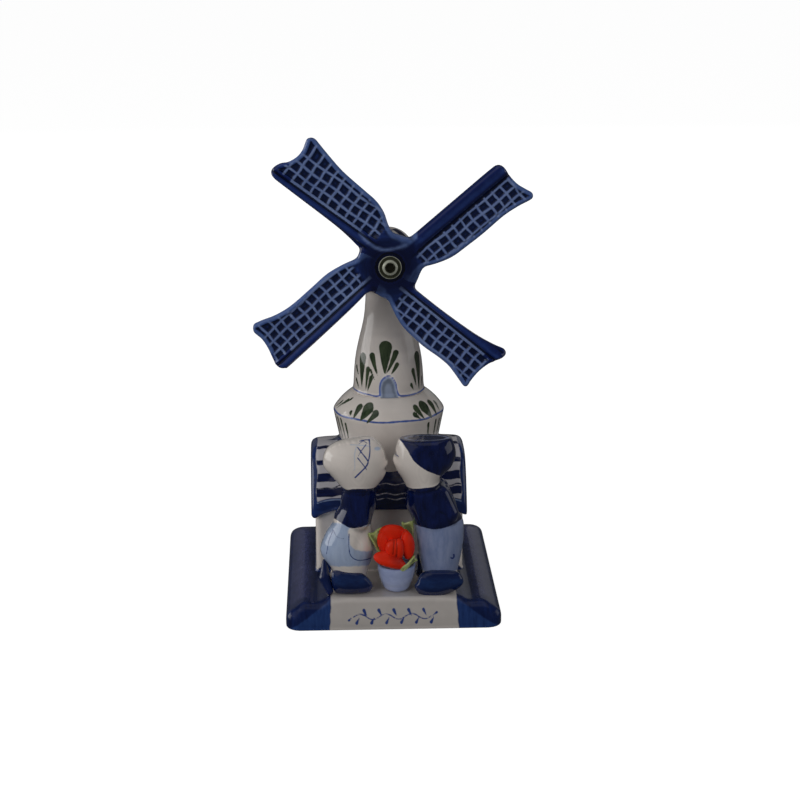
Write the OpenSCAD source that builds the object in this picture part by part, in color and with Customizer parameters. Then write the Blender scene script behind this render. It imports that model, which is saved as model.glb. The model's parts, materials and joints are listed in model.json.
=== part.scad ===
// Blue and white glazed windmill souvenir: a couple kissing in front of a mill whose sails spin.
// Origin at the centre of the foot, +Z up, the front of the figurine faces -Y, all sizes in mm.

/* [Plinth] */
// Width of the foot, left to right
plinth_w = 64; // [60:1:70]
// Depth of the foot, front to back
plinth_d = 78; // [76:1:80]
// Height of the plinth's flat top
plinth_h = 8.6; // [7:0.2:9]
// Height of the upright rim on the left and right
rim_h = 4.6; // [3:0.2:6]
// How far the left and right slopes come in
side_run = 9; // [6:0.5:11]
// How far the steep front slope comes in
front_run = 3.8; // [2:0.2:4.4]
// How far the long back slope comes in
back_run = 12; // [8:0.5:13]
// Radius of the kiln vent under the house
vent_r = 3; // [2:0.5:4]

/* [House] */
// Width of the house walls
house_w = 45; // [44:0.2:45.6]
// Distance from the mill's axis to the front and back walls
house_half_d = 16.6; // [16.4:0.1:17]
// Height of the eaves
eave_z = 29.4; // [28:0.2:30]
// Height of the roof's ridge
ridge_z = 45.8; // [45:0.2:47]
// Width of the roof
roof_w = 47.5; // [47:0.5:49]
// Thickness of the cast walls
wall_t = 2.8; // [2:0.2:3.4]

/* [Mill] */
// Distance of the mill's axis behind the centre of the foot
mill_y = 4; // [3.5:0.25:4.5]
// Widest radius of the mill, at the stage
stage_r = 17.1; // [16.5:0.1:17.4]
// Height of the stage's rim
stage_z = 56; // [55:0.25:56.5]
// Height where the tower starts
tower_z = 62; // [61.5:0.25:62.5]
// Height where the cap starts
cap_z = 97; // [96:0.25:98]
// Radius of the cap's dome
cap_r = 8; // [7.6:0.1:8.2]
// Height of the cap's highest point
cap_top = 112.5; // [112:0.25:113]

/* [Sails] */
// Height of the hub at the middle of the sails
hub_z = 103.9; // [103.5:0.1:104.5]
// How far the shaft points up, in degrees
shaft_tilt = 6; // [5:0.5:7]
// Length of a spar, from the hub's centre to its tip
spar_len = 44; // [40:0.5:44.5]
// Radius of the rounded spar along each sail
spar_r = 2.3; // [2:0.1:2.5]
// Thickness of the sails' panels
panel_t = 2.6; // [2.2:0.1:3]
// Radius of the hub
hub_r = 8.3; // [7.5:0.1:8.5]
// Thickness of the hub
hub_t = 4.6; // [4.2:0.1:5]
// Spacing of the lattice's laths
lath_pitch = 3; // [2.8:0.1:3.2]
// Width of a lath
lath_w = 0.75; // [0.6:0.05:1]
// Depth of the lattice's cells
cell_depth = 0.8; // [0.5:0.1:1]

/* [Hardware] */
// Radius of the screw's shank
shank_r = 1.5; // [1.4:0.05:1.6]
// Radius of the screw's pan head
head_r = 2.3; // [2.1:0.1:2.6]
// Radius of the washer under the head
washer_r = 3.4; // [3:0.1:3.6]
// Running clearance between the shank and the bush
run_gap = 0.05; // [0.03:0.01:0.08]

/* [Couple] */
// Distance of the couple in front of the foot's centre
couple_y = 25.4; // [25:0.1:25.6]
// Height of both waists
waist_z = 29; // [28.6:0.1:29.4]
// Height of both collars
collar_z = 40.2; // [39.8:0.1:40.6]
// Height of the hems above the clogs
hem_z = 14.8; // [14.4:0.1:15]

/* [Flower] */
// Radius of the pot's rim
pot_r = 5.7; // [5.4:0.1:5.8]
// Height of the pot
pot_h = 8.2; // [7.8:0.1:8.4]
// Radius of the flower's closed bud
bud_r = 3.2; // [2.8:0.1:3.6]
// Outer radius of the cup of petals
bloom_r = 5.7; // [5.3:0.1:5.8]
// Thickness of a petal
petal_t = 1.2; // [0.9:0.1:1.4]

/* [Hidden] */
$fn = 64;
hull_fn = 30;
leaf_fn = 12;
cobalt = [0.04, 0.07, 0.30];
navy = [0.02, 0.03, 0.16];
glaze = [0.90, 0.88, 0.86];
wash = [0.55, 0.63, 0.80];
red = [0.85, 0.12, 0.05];
leaf_green = [0.55, 0.68, 0.35];
steel = [0.75, 0.75, 0.72];
nylon = [0.88, 0.87, 0.82];
// Clearance left between castings that are luted together round a curved joint
lute_gap = 0.15;
// Slope of the mill's wall under the stage
waist_slope = 0.2;
waist_foot_z = 32;
roof_t = 2.4;
roof_bulge = 3;
// The house stands a little left of the mill's axis
house_x = -0.5;
roof_half_d = house_half_d + 2.2;
roof_rise = ridge_z - eave_z;
// The hub's centre and the shaft: everything on it is drawn along local +Z, which points forwards
hub_y = -13;
anchor_r = 2.2;
anchor_len = 8;
boss_r = 4;
boss_face = -3.8;
bush_r = 2.2;
bush_flange_t = 1.2;
washer_t = 0.9;
washer_dish = 0.3;
// Play between the sails and the washer, so that the sails spin freely
washer_lift = 0.3;
head_t = 1.6;
head_bevel = 0.8;
recess_r = 1.1;
recess_lobe = 0.2;
recess_depth = 1.1;
sail_back = -hub_t / 2;
sail_front = hub_t / 2;
shank_end = boss_face - anchor_len + 1;
// The four sails as made: angle of each spar, how far its outer edge misses the hub's centre,
// and how far out its panel's corner is
sails = [[39, 2.9, 44.6], [144, -1.8, 40.8], [222, 1.2, 42], [321, 0.3, 40]];
panel_w = 12.5;
first_cell = 9;
cells_along = 10;
cells_across = 2;
lattice_v = 6.4;
girl_x = -12.5;
boy_x = 13.4;
split_gap = 0.1;
pot_x = 1.1;
pot_y = -28;
bud_z = 22.6;
stem_r = 1.3;
leaf_foot_r = 0.5;
leaf_edge_r = 0.4;

// A ball at a point, for hulls
module ball(at, r) {
    translate(at) sphere(r, $fn = hull_fn);
}

// A slab between two heights, wide enough to cut any figure
module level(low, high) {
    translate([-50, -30, low]) cube([100, 60, high - low]);
}

// Moves to the hub, with local +Z along the shaft and out of the front
module on_shaft() {
    translate([0, hub_y, hub_z]) rotate([90 - shaft_tilt, 0, 0]) children();
}

// A figure standing on the plinth, x measured from its own middle
module stand(x) {
    translate([x, -couple_y, 0]) children();
}

module plinth() {
    w = plinth_w / 2;
    d = plinth_d / 2;
    color(cobalt) difference() {
        intersection() {
            rotate([90, 0, 0]) linear_extrude(plinth_d, center = true)
                polygon([[-w, 0], [w, 0], [w, rim_h], [w - 1.4, rim_h + 1.2], [w - side_run, plinth_h],
                    [side_run - w, plinth_h], [1.4 - w, rim_h + 1.2], [-w, rim_h]]);
            rotate([90, 0, 90]) linear_extrude(plinth_w, center = true)
                polygon([[-d, 0], [d, 0], [d, rim_h], [d - back_run, plinth_h], [front_run - d, plinth_h], [-d, 3]]);
        }
        translate([0, mill_y, -1]) cylinder(h = plinth_h + 2, r = vent_r);
    }
}

// Height of the bulging roof's top at a distance d from the ridge
function roof_height(d) = ridge_z - roof_rise * pow(d / roof_half_d, roof_bulge);

// Side view of the roof's top surface, shifted down by drop and cut off at half depth reach
function roof_line(reach, drop) = [for (i = [-8:8]) [reach * i / 8, roof_height(abs(reach * i / 8)) - drop]];

module along_house(width) {
    translate([house_x, mill_y, 0]) rotate([90, 0, 90]) linear_extrude(width, center = true) children();
}

// The cone that the mill's wall follows under the stage, grown by gap
module waist_cone(gap) {
    translate([0, mill_y, waist_foot_z])
        cylinder(h = stage_z - waist_foot_z, r1 = stage_r - waist_slope * (stage_z - waist_foot_z) + gap,
            r2 = stage_r + gap);
}

module house_walls() {
    reach = house_half_d;
    line = roof_line(reach, roof_t);
    color(glaze) difference() {
        along_house(house_w) polygon(concat([[-reach, plinth_h]], line, [[reach, plinth_h]]));
        translate([house_x + wall_t - house_w / 2, mill_y + wall_t - reach, plinth_h - 1])
            cube([house_w - 2 * wall_t, 2 * (reach - wall_t), waist_foot_z - wall_t - plinth_h]);
        waist_cone(lute_gap);
        translate([0, mill_y, 20]) cylinder(h = 20, r = 8);
    }
}

module house_roof() {
    top = roof_line(roof_half_d, 0);
    under = roof_line(house_half_d, roof_t);
    low = roof_height(roof_half_d) - 1.4;
    color(navy) difference() {
        along_house(roof_w)
            polygon(concat(top, [[roof_half_d, low], [house_half_d, low]],
                [for (i = [16:-1:0]) under[i]], [[-house_half_d, low], [-roof_half_d, low]]));
        waist_cone(lute_gap);
    }
}

// Mill wall from the roof to the stage, and the shoulder up to the tower
module mill_waist() {
    foot_r = stage_r - waist_slope * (stage_z - waist_foot_z);
    color(glaze) translate([0, mill_y, 0]) rotate_extrude()
        polygon([[foot_r, waist_foot_z], [stage_r, stage_z], [15, 59], [11.4, tower_z], [7, tower_z],
            [7, tower_z - 2], [12, 57], [stage_r - wall_t, stage_z - 1], [foot_r - wall_t, waist_foot_z]]);
}

module mill_tower() {
    color(glaze) translate([0, mill_y, 0]) rotate_extrude()
        polygon([[11.2, tower_z], [10.8, 64], [10.3, 71], [9.3, 76.6], [8.1, 81.6], [7.2, 86.7], [6.7, cap_z],
            [4, cap_z], [4.4, 86.7], [6.4, 77], [8, 70], [8.4, tower_z]]);
}

module mill_cap() {
    color(glaze) difference() {
        union() {
            translate([0, mill_y, 0]) rotate_extrude() intersection() {
                translate([0, cap_top - cap_r]) circle(cap_r);
                translate([0, cap_z + 2]) square([cap_r, cap_top]);
            }
            translate([0, mill_y, cap_z]) cylinder(h = 3, r1 = 6.9, r2 = 7);
            on_shaft() translate([0, 0, boss_face - 9]) cylinder(h = 9, r = boss_r);
        }
        on_shaft() translate([0, 0, boss_face - anchor_len]) cylinder(h = anchor_len + 1, r = anchor_r);
    }
}

// Outline of one sail: u runs out along the spar, v across from the spar's outer edge
function sail_outline(corner) = [[3, 0], [spar_len - 1.8, 0], [spar_len - 0.4, 0.8], [spar_len, 2.6],
    [spar_len - 1.6, 5], [corner * 0.3 + spar_len * 0.65, 8.5], [corner - 0.6, 12], [corner, panel_w + 2.6],
    [corner - 1.4, panel_w + 3.2], [38, panel_w + 1.9], [33, panel_w + 0.8], [27, panel_w + 0.2],
    [15.5, panel_w - 0.2], [11.3, panel_w - 1.3], [8, panel_w - 3], [5.5, panel_w - 3.9], [2.8, panel_w - 4.7]];

// Local frame of one sail: x along the spar, y across towards the panel is negative
module on_sail(sail) {
    rotate([0, 0, sail[0]]) translate([0, sail[1], 0]) mirror([0, 1, 0]) children();
}

module sail_cells() {
    for (i = [0:cells_along - 1])
        for (j = [0:cells_across - 1])
            translate([first_cell + i * lath_pitch, lattice_v + j * lath_pitch, panel_t / 2 - cell_depth])
                cube([lath_pitch - lath_w, lath_pitch - lath_w, 2]);
}

module sail_cross() {
    color(cobalt) on_shaft() difference() {
        union() {
            for (sail = sails)
                on_sail(sail) {
                    linear_extrude(panel_t, center = true) polygon(sail_outline(sail[2]));
                    translate([2, spar_r + 0.1, 0]) rotate([0, 90, 0]) cylinder(h = spar_len - 4.6, r = spar_r);
                    translate([spar_len - 2.6, spar_r + 0.1, 0]) sphere(spar_r);
                }
            cylinder(h = hub_t, r = hub_r, center = true);
        }
        for (sail = sails)
            on_sail(sail) sail_cells();
        cylinder(h = hub_t + 2, r = bush_r, center = true);
    }
}

// Flanged sleeve that lines the sails' bore and spaces them off the cap's boss
module sail_bush() {
    color(nylon) on_shaft() difference() {
        union() {
            translate([0, 0, sail_back]) cylinder(h = hub_t, r = bush_r);
            translate([0, 0, sail_back - bush_flange_t]) cylinder(h = bush_flange_t, r = boss_r - 0.2);
        }
        translate([0, 0, sail_back - 2]) cylinder(h = hub_t + 4, r = shank_r + run_gap);
    }
}

// Cupped washer between the sails and the screw's head
module front_washer() {
    color(steel) on_shaft() translate([0, 0, sail_front + washer_lift]) difference() {
        cylinder(h = washer_t, r = washer_r);
        translate([0, 0, -1]) cylinder(h = washer_t + 2, r = shank_r + lute_gap);
        translate([0, 0, washer_t - washer_dish]) cylinder(h = 1, r = washer_r - washer_dish);
    }
}

module pivot_screw() {
    seat = sail_front + washer_lift + washer_t - washer_dish;
    color(steel) on_shaft() difference() {
        union() {
            translate([0, 0, shank_end]) cylinder(h = seat - shank_end, r = shank_r);
            translate([0, 0, seat]) cylinder(h = head_t - head_bevel, r = head_r);
            translate([0, 0, seat + head_t - head_bevel])
                cylinder(h = head_bevel, r1 = head_r, r2 = head_r - head_bevel);
        }
        translate([0, 0, seat + head_t - recess_depth]) linear_extrude(recess_depth + 1)
            polygon([for (a = [0:7.5:352.5]) (recess_r + recess_lobe * cos(6 * a)) * [cos(a), sin(a)]]);
    }
}

// Plug in the cap's boss that the screw bites into
module screw_anchor() {
    color(nylon) on_shaft() difference() {
        translate([0, 0, boss_face - anchor_len]) cylinder(h = anchor_len, r = anchor_r);
        translate([0, 0, shank_end]) cylinder(h = anchor_len + 1, r = shank_r);
    }
}

module girl_head() {
    color(glaze) stand(girl_x) intersection() {
        hull() {
            ball([5.6, 0, 50], 5.4);
            ball([-4.2, 0, 48], 3.7);
            ball([3.4, 0, 48.2], 7);
            ball([5.6, 0, 45.4], 4.8);
            translate([3, 0, collar_z - 1]) cylinder(h = 1, r = 4.7, $fn = hull_fn);
            ball([10.3, 0, 47.7], 1);
        }
        level(collar_z, 60);
    }
}

module girl_bodice() {
    color(navy) stand(girl_x) intersection() {
        hull() {
            translate([3, 0, collar_z]) cylinder(h = 1, r = 4.7, $fn = hull_fn);
            ball([1.8, 0, 31], 5.4);
            ball([-0.2, 0, waist_z + 1.4], 4.8);
        }
        level(waist_z, collar_z);
    }
}

module girl_skirt() {
    color(wash) stand(girl_x) intersection() {
        hull() {
            translate([1, 0, waist_z]) cylinder(h = 1, r = 6, $fn = hull_fn);
            ball([-3, 0, 20.4], 6.2);
            ball([1.2, -0.6, 20.4], 6.2);
            translate([-0.8, -0.6, hem_z - 1]) cylinder(h = 1, r = 5.4, $fn = hull_fn);
        }
        level(hem_z, waist_z);
    }
}

// A rounded clog from its heel to its toe, standing on the plinth and reaching up to the hems
module clog(heel, toe, r) {
    intersection() {
        hull() {
            ball(heel, r);
            ball(toe, r - 0.3);
        }
        level(plinth_h, hem_z);
    }
}

module girl_front_clog() {
    color(navy) stand(girl_x) clog([-2.4, -4.9, 11.9], [3.4, -4.7, 11.6], 3.4);
}

// The far foot is up on its toe, so its clog stands on end
module girl_rear_clog() {
    color(navy) stand(girl_x) clog([-7.4, -1.4, 14.6], [-7.5, -3.4, 10.4], 1.5);
}

// Everything that the boy's head fills, before the cap is cut from it
module boy_skull() {
    hull() {
        ball([-4, 0, 47.6], 6.4);
        ball([-7.8, 0, 47.4], 4.4);
        ball([-8.2, 0, 44.8], 3.7);
        ball([-12, 0, 48.6], 1.1);
        ball([-7.6, 0, 52], 3.4);
        translate([-4.6, 0, collar_z - 1]) cylinder(h = 1, r = 4.8, $fn = hull_fn);
    }
}

// The slanting cut between the boy's head and his cap: the cap's side, lifted by gap
module cap_side(gap) {
    translate([-12.4, -30, 54.6]) rotate([0, 43, 0]) translate([-20, 0, gap]) cube([60, 60, 40]);
}

module boy_head() {
    color(glaze) stand(boy_x) difference() {
        intersection() {
            boy_skull();
            level(collar_z, 60);
        }
        cap_side(0);
    }
}

module boy_cap() {
    color(navy) stand(boy_x) intersection() {
        hull() {
            ball([-3, 0, 51], 5.2);
            ball([0.8, 0, 49.8], 4.8);
            ball([-7.5, 0, 52.3], 3.4);
            ball([0, 0, 47.8], 4.2);
        }
        cap_side(split_gap);
    }
}

module boy_jacket() {
    color(navy) stand(boy_x) intersection() {
        hull() {
            translate([-4.6, 0, collar_z]) cylinder(h = 1, r = 4.8, $fn = hull_fn);
            ball([1.2, 0, 33], 5.1);
            translate([-0.8, 0, waist_z - 1]) cylinder(h = 1, r = 6.6, $fn = hull_fn);
        }
        level(waist_z, collar_z);
    }
}

module boy_trousers() {
    color(wash) stand(boy_x) intersection() {
        hull() {
            translate([0.6, 0, waist_z]) cylinder(h = 1, r = 7, $fn = hull_fn);
            ball([1.6, 0, 24], 6.3);
            translate([1.2, -0.6, hem_z - 1]) cylinder(h = 1, r = 5.5, $fn = hull_fn);
        }
        level(hem_z, waist_z);
    }
}

module boy_front_clog() {
    color(navy) stand(boy_x) clog([4, -4.9, 11.7], [-3.6, -5.1, 11.4], 3.5);
}

module boy_rear_clog() {
    color(navy) stand(boy_x) clog([3.6, 3.4, 11.4], [-3.6, 3.2, 11.2], 2.9);
}

module flower_pot() {
    color(wash) translate([pot_x, pot_y, plinth_h]) rotate_extrude()
        polygon([[0, 0], [2.6, 0], [4, 0.8], [4.9, 2.4], [pot_r, pot_h], [pot_r - 0.9, pot_h],
            [pot_r - 1.2, pot_h - 1.2], [0, pot_h - 1.2]]);
}

module on_flower() {
    translate([pot_x, pot_y, bud_z]) children();
}

module flower_bud() {
    color(red) on_flower() {
        difference() {
            sphere(bud_r);
            translate([-bud_r, -bud_r, bud_r * 0.75]) cube([2 * bud_r, 2 * bud_r, bud_r]);
        }
        translate([0, 0, plinth_h + pot_h - 1.2 - bud_z]) cylinder(h = bud_z - plinth_h - pot_h - 1, r = stem_r);
    }
}

// One petal of a cupped ring round the bud, from angle a to a + span, leaning out by lean
module petal(a, span, low, high) {
    color(red) on_flower() rotate([0, 0, a]) rotate_extrude(angle = span) intersection() {
        difference() {
            circle(bloom_r);
            circle(bloom_r - petal_t);
        }
        translate([stem_r + 0.1, low]) square([10, high - low]);
    }
}

module petal_left() {
    petal(168, 98, -4.6, 4.2);
}

module petal_right() {
    petal(-26, 92, -4.6, 3.6);
}

module petal_back() {
    petal(70, 94, -4.6, 4.8);
}

module petal_front() {
    petal(270, 60, -4.8, 0.8);
}

// A leaf standing on the pot's rim: up from its foot to its bend, then out to two top corners
module leaf(foot, bend, corner_a, corner_b) {
    rim = [0, 0, plinth_h + pot_h + leaf_foot_r];
    color(leaf_green) translate([pot_x, pot_y, 0]) {
        hull() {
            translate(foot + rim) sphere(leaf_foot_r, $fn = leaf_fn);
            translate(bend) sphere(leaf_edge_r, $fn = leaf_fn);
        }
        hull() {
            translate(bend) sphere(leaf_edge_r, $fn = leaf_fn);
            translate(corner_a) sphere(leaf_edge_r, $fn = leaf_fn);
            translate(corner_b) sphere(leaf_edge_r, $fn = leaf_fn);
        }
    }
}

module leaf_left() {
    leaf([-5, 0.1, 0], [-6.2, -0.9, 22], [-8, -2.7, 27], [-6, -0.6, 27.4]);
}

module leaf_right() {
    leaf([2.6, 4.5, 0], [3.6, 6.3, 22.4], [1.9, 6, 27.6], [5, 6.2, 28.4]);
}

module leaf_front() {
    leaf([4.1, -3.2, 0], [4.9, -3.5, 18.6], [6, -3.2, 20.2], [5.4, -2.4, 19.6]);
}

plinth();
house_walls();
house_roof();
mill_waist();
mill_tower();
mill_cap();
sail_cross();
sail_bush();
front_washer();
pivot_screw();
screw_anchor();
girl_head();
girl_bodice();
girl_skirt();
girl_front_clog();
girl_rear_clog();
boy_head();
boy_cap();
boy_jacket();
boy_trousers();
boy_front_clog();
boy_rear_clog();
flower_pot();
flower_bud();
petal_left();
petal_right();
petal_back();
petal_front();
leaf_left();
leaf_right();
leaf_front();
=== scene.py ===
import bpy
import bmesh
import json
import math
from collections import namedtuple
import numpy as np
from mathutils import Matrix, Vector


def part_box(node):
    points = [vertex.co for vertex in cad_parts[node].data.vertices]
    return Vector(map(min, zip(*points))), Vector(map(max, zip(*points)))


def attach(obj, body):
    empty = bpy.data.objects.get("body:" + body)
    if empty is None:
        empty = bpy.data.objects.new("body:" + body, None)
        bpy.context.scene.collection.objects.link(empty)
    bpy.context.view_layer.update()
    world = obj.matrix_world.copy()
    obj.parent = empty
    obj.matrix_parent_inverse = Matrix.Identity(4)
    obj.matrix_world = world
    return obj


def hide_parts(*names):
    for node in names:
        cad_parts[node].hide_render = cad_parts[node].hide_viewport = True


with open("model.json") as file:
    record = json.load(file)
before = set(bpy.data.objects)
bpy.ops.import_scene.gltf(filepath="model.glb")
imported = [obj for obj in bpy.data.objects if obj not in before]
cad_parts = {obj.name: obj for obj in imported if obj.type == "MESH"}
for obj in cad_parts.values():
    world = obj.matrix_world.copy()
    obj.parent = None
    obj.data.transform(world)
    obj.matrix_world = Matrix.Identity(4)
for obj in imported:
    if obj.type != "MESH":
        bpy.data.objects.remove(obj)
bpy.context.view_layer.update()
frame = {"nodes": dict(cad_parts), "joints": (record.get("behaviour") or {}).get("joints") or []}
MM = 0.001


# ---------------------------------------------------------------- sizes taken from the CAD boxes


def corners(*names):
    """Lowest and highest corner of some CAD nodes together, in mm."""
    found = [[np.array(c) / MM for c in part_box(n)] for n in names]
    return np.min([f[0] for f in found], 0), np.max([f[1] for f in found], 0)


foot_low, foot_high = corners("plinth")
PLINTH_TOP = foot_high[2]
tower_low, tower_high = corners("mill_tower")
MILL_Y = (tower_low[1] + tower_high[1]) / 2
TOWER_FOOT, TOWER_TOP = tower_low[2], tower_high[2]
TOWER_R = (tower_high[0] - tower_low[0]) / 2
waist_low, waist_high = corners("mill_waist")
STAGE_R = (waist_high[0] - waist_low[0]) / 2
roof_low, roof_high = corners("house_roof")
walls_low, walls_high = corners("house_walls")
cap_low, cap_high = corners("mill_cap")
sail_low, sail_high = corners("sail_cross")
pot_low, pot_high = corners("flower_pot")
girl_low, girl_high = corners("girl_head", "girl_bodice", "girl_skirt")
COUPLE_Y = (girl_low[1] + girl_high[1]) / 2 + 0.3
spin = frame["joints"][0]
HUB = np.array(spin["pos_m"]) / MM
SHAFT = np.array(spin["axis"]) / np.linalg.norm(spin["axis"])
ACROSS = np.array([1.0, 0.0, 0.0])
UPWARD = np.cross(SHAFT, ACROSS)
VIEW_SLOPE = 0.285  # how much higher a point has to be, per mm nearer, to be seen in the same place


# ---------------------------------------------------------------- clay: shapes as distance fields


class Clay:
    """A block of sample points, in mm, that fields are worked out on."""

    def __init__(self, low, high, step):
        self.low, self.step = np.array(low, float), step
        count = np.ceil((np.array(high, float) - self.low) / step).astype(int) + 1
        axes = [self.low[k] + step * np.arange(count[k]) for k in range(3)]
        self.axes = axes
        self.x, self.y, self.z = np.meshgrid(*axes, indexing="ij", sparse=True)

    def ball(self, at, radii):
        rx, ry, rz = np.ones(3) * radii
        s = np.sqrt(((self.x - at[0]) / rx) ** 2 + ((self.y - at[1]) / ry) ** 2
                    + ((self.z - at[2]) / rz) ** 2)
        return (s - 1) * min(rx, ry, rz)

    def rod(self, a, b, ra, rb):
        """A rod with round ends, of radius ra at a and rb at b."""
        a, b = np.array(a, float), np.array(b, float)
        d = b - a
        px, py, pz = self.x - a[0], self.y - a[1], self.z - a[2]
        t = np.clip((px * d[0] + py * d[1] + pz * d[2]) / (d @ d), 0, 1)
        away = np.sqrt((px - t * d[0]) ** 2 + (py - t * d[1]) ** 2 + (pz - t * d[2]) ** 2)
        return away - (ra + (rb - ra) * t)

    def slab(self, low, high, r):
        """A box with edges rounded by r."""
        q = [np.abs(v - (low[k] + high[k]) / 2) - (high[k] - low[k]) / 2 + r
             for k, v in enumerate((self.x, self.y, self.z))]
        out = np.sqrt(sum(np.maximum(v, 0) ** 2 for v in q))
        return out + np.minimum(np.maximum(np.maximum(q[0], q[1]), q[2]), 0) - r

    def pillow(self, outline, y_mid, fullness):
        """A closed outline in the xz plane blown up like a cushion on both sides of y_mid."""
        gx, gz = np.meshgrid(self.axes[0], self.axes[2], indexing="ij")
        away = outline_distance(gx, gz, outline)
        height = blown_up(away, self.step)
        f = ((self.y - y_mid) / (2 * fullness)) ** 2 - height[:, None, :]
        slope = np.sqrt(sum(g**2 for g in np.gradient(f, self.step)))
        return np.clip(f / np.maximum(slope, 0.6), -3, 3)

    def mesh(self, f, smoothing=2):
        """Vertices (mm) and faces of the zero level of f, by surface nets."""
        f = np.broadcast_to(f, [len(a) for a in self.axes]).astype(np.float32)
        inside = f < 0
        n = np.array(f.shape)
        count = np.zeros(n - 1, np.int8)
        offsets = [(i, j, k) for i in (0, 1) for j in (0, 1) for k in (0, 1)]
        for i, j, k in offsets:
            count += inside[i:n[0] - 1 + i, j:n[1] - 1 + j, k:n[2] - 1 + k]
        cells = np.argwhere((count > 0) & (count < 8))
        number = -np.ones(n - 1, np.int64)
        number[tuple(cells.T)] = np.arange(len(cells))
        value = {o: f[tuple((cells + o).T)] for o in offsets}
        place, crossed = np.zeros((len(cells), 3)), np.zeros(len(cells))
        for o in offsets:
            for k in range(3):
                if o[k]:
                    continue
                other = tuple(1 if m == k else o[m] for m in range(3))
                a, b = value[o], value[other]
                hit = (a < 0) != (b < 0)
                t = np.where(hit, a / np.where(hit, a - b, 1), 0)
                point = np.tile(np.array(o, float), (len(cells), 1))
                point[:, k] = t
                place += point * hit[:, None]
                crossed += hit
        verts = (cells + place / crossed[:, None]) * self.step + self.low
        faces = []
        for k in range(3):
            i, j = (k + 1) % 3, (k + 2) % 3
            first = np.take(inside, np.arange(n[k] - 1), k)
            second = np.take(inside, np.arange(1, n[k]), k)
            for flip, where in ((False, first & ~second), (True, ~first & second)):
                e = np.argwhere(where)
                e = e[(e[:, i] > 0) & (e[:, j] > 0) & (e[:, i] < n[i] - 1) & (e[:, j] < n[j] - 1)]
                ring = []
                for di, dj in ((-1, -1), (0, -1), (0, 0), (-1, 0)):
                    c = e.copy()
                    c[:, i] += di
                    c[:, j] += dj
                    ring.append(number[tuple(c.T)])
                quad = np.stack(ring, 1)
                faces.append(quad[:, ::-1] if flip else quad)
        faces = np.concatenate(faces)
        return relax(verts, faces, smoothing), faces


def smooth_min(a, b, k):
    h = np.clip(0.5 + 0.5 * (b - a) / k, 0, 1)
    return b * (1 - h) + a * h - k * h * (1 - h)


def smooth_max(a, b, k):
    return -smooth_min(-a, -b, k)


def smooth_step(t):
    """Eases from 0 to 1 as t does, level at both ends."""
    t = np.clip(t, 0, 1)
    return t * t * (3 - 2 * t)


def edge_pairs(faces):
    return np.concatenate([np.stack([faces[:, i], faces[:, (i + 1) % 4]], 1) for i in range(4)])


def neighbour_mean(verts, faces):
    e = edge_pairs(faces)
    n = len(verts)
    many = np.maximum(np.bincount(e[:, 0], minlength=n) + np.bincount(e[:, 1], minlength=n), 1)
    total = [np.bincount(e[:, 0], verts[e[:, 1], k], n) + np.bincount(e[:, 1], verts[e[:, 0], k],
        n) for k in range(3)]
    return np.stack(total, 1) / many[:, None]


def relax(verts, faces, times):
    """Evens a mesh out without shrinking it: each smoothing step is followed by one the other way."""
    for _ in range(times):
        verts = verts + 0.5 * (neighbour_mean(verts, faces) - verts)
        verts = verts - 0.52 * (neighbour_mean(verts, faces) - verts)
    return verts


def curve(points, parts=6, closed=False):
    """A smooth line through the points."""
    p = np.array(points, float)
    n = len(p)
    last = n if closed else n - 1
    out = []
    for i in range(last):
        if closed:
            a, b, c, d = p[i - 1], p[i], p[(i + 1) % n], p[(i + 2) % n]
        else:
            a, b, c, d = p[max(i - 1, 0)], p[i], p[i + 1], p[min(i + 2, n - 1)]
        for t in np.arange(parts) / parts:
            out.append(0.5 * (2 * b + (c - a) * t + (2 * a - 5 * b + 4 * c - d) * t**2 + (3 * b - a - 3 * c
                + d) * t**3))
    if not closed:
        out.append(p[-1])
    return np.array(out)


def outline_distance(x, z, outline):
    """Distance to a closed outline, negative inside it."""
    best = np.full(x.shape, 1e9)
    inside = np.zeros(x.shape, bool)
    for a, b in zip(outline, np.roll(outline, -1, 0)):
        d = b - a
        t = np.clip(((x - a[0]) * d[0] + (z - a[1]) * d[1]) / max(d @ d, 1e-12), 0, 1)
        best = np.minimum(best, (x - a[0] - t * d[0]) ** 2 + (z - a[1] - t * d[1]) ** 2)
        if a[1] != b[1]:
            spans = (a[1] > z) != (b[1] > z)
            inside ^= spans & (x < a[0] + (z - a[1]) / (b[1] - a[1]) * d[0])
    return np.where(inside, -1, 1) * np.sqrt(best)


def blown_up(away, step, rounds=260):
    """Height of a film blown up over the inside of an outline: 2 sqrt(height) is a ball over a circle."""
    inside = away < 0
    h = np.zeros(away.shape)
    i, j = np.indices(away.shape)
    colour = (i + j) % 2
    masks = [inside[1:-1, 1:-1] & (colour[1:-1, 1:-1] == c) for c in (0, 1)]
    for _ in range(rounds):
        for m in masks:
            around = h[:-2, 1:-1] + h[2:, 1:-1] + h[1:-1, :-2] + h[1:-1, 2:]
            h[1:-1, 1:-1] += np.where(m, 1.88 * ((around + step**2) / 4 - h[1:-1, 1:-1]), 0)
    sure = away < -0.8 * step
    ratio = np.where(sure, h / np.where(sure, -away, 1), 0)
    known = sure.astype(float)
    for _ in range(24):
        total = ratio * known
        pad, weight = np.pad(total, 1), np.pad(known, 1)
        near = pad[:-2, 1:-1] + pad[2:, 1:-1] + pad[1:-1, :-2] + pad[1:-1, 2:]
        many = weight[:-2, 1:-1] + weight[2:, 1:-1] + weight[1:-1, :-2] + weight[1:-1, 2:]
        ratio = np.where(sure, ratio, np.where(many > 0, near / np.maximum(many, 1e-9), 0))
        known = np.where(sure | (many > 0), 1.0, 0.0)
    ratio = np.where(known > 0, ratio, ratio[sure].mean())
    return -away * ratio


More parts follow.
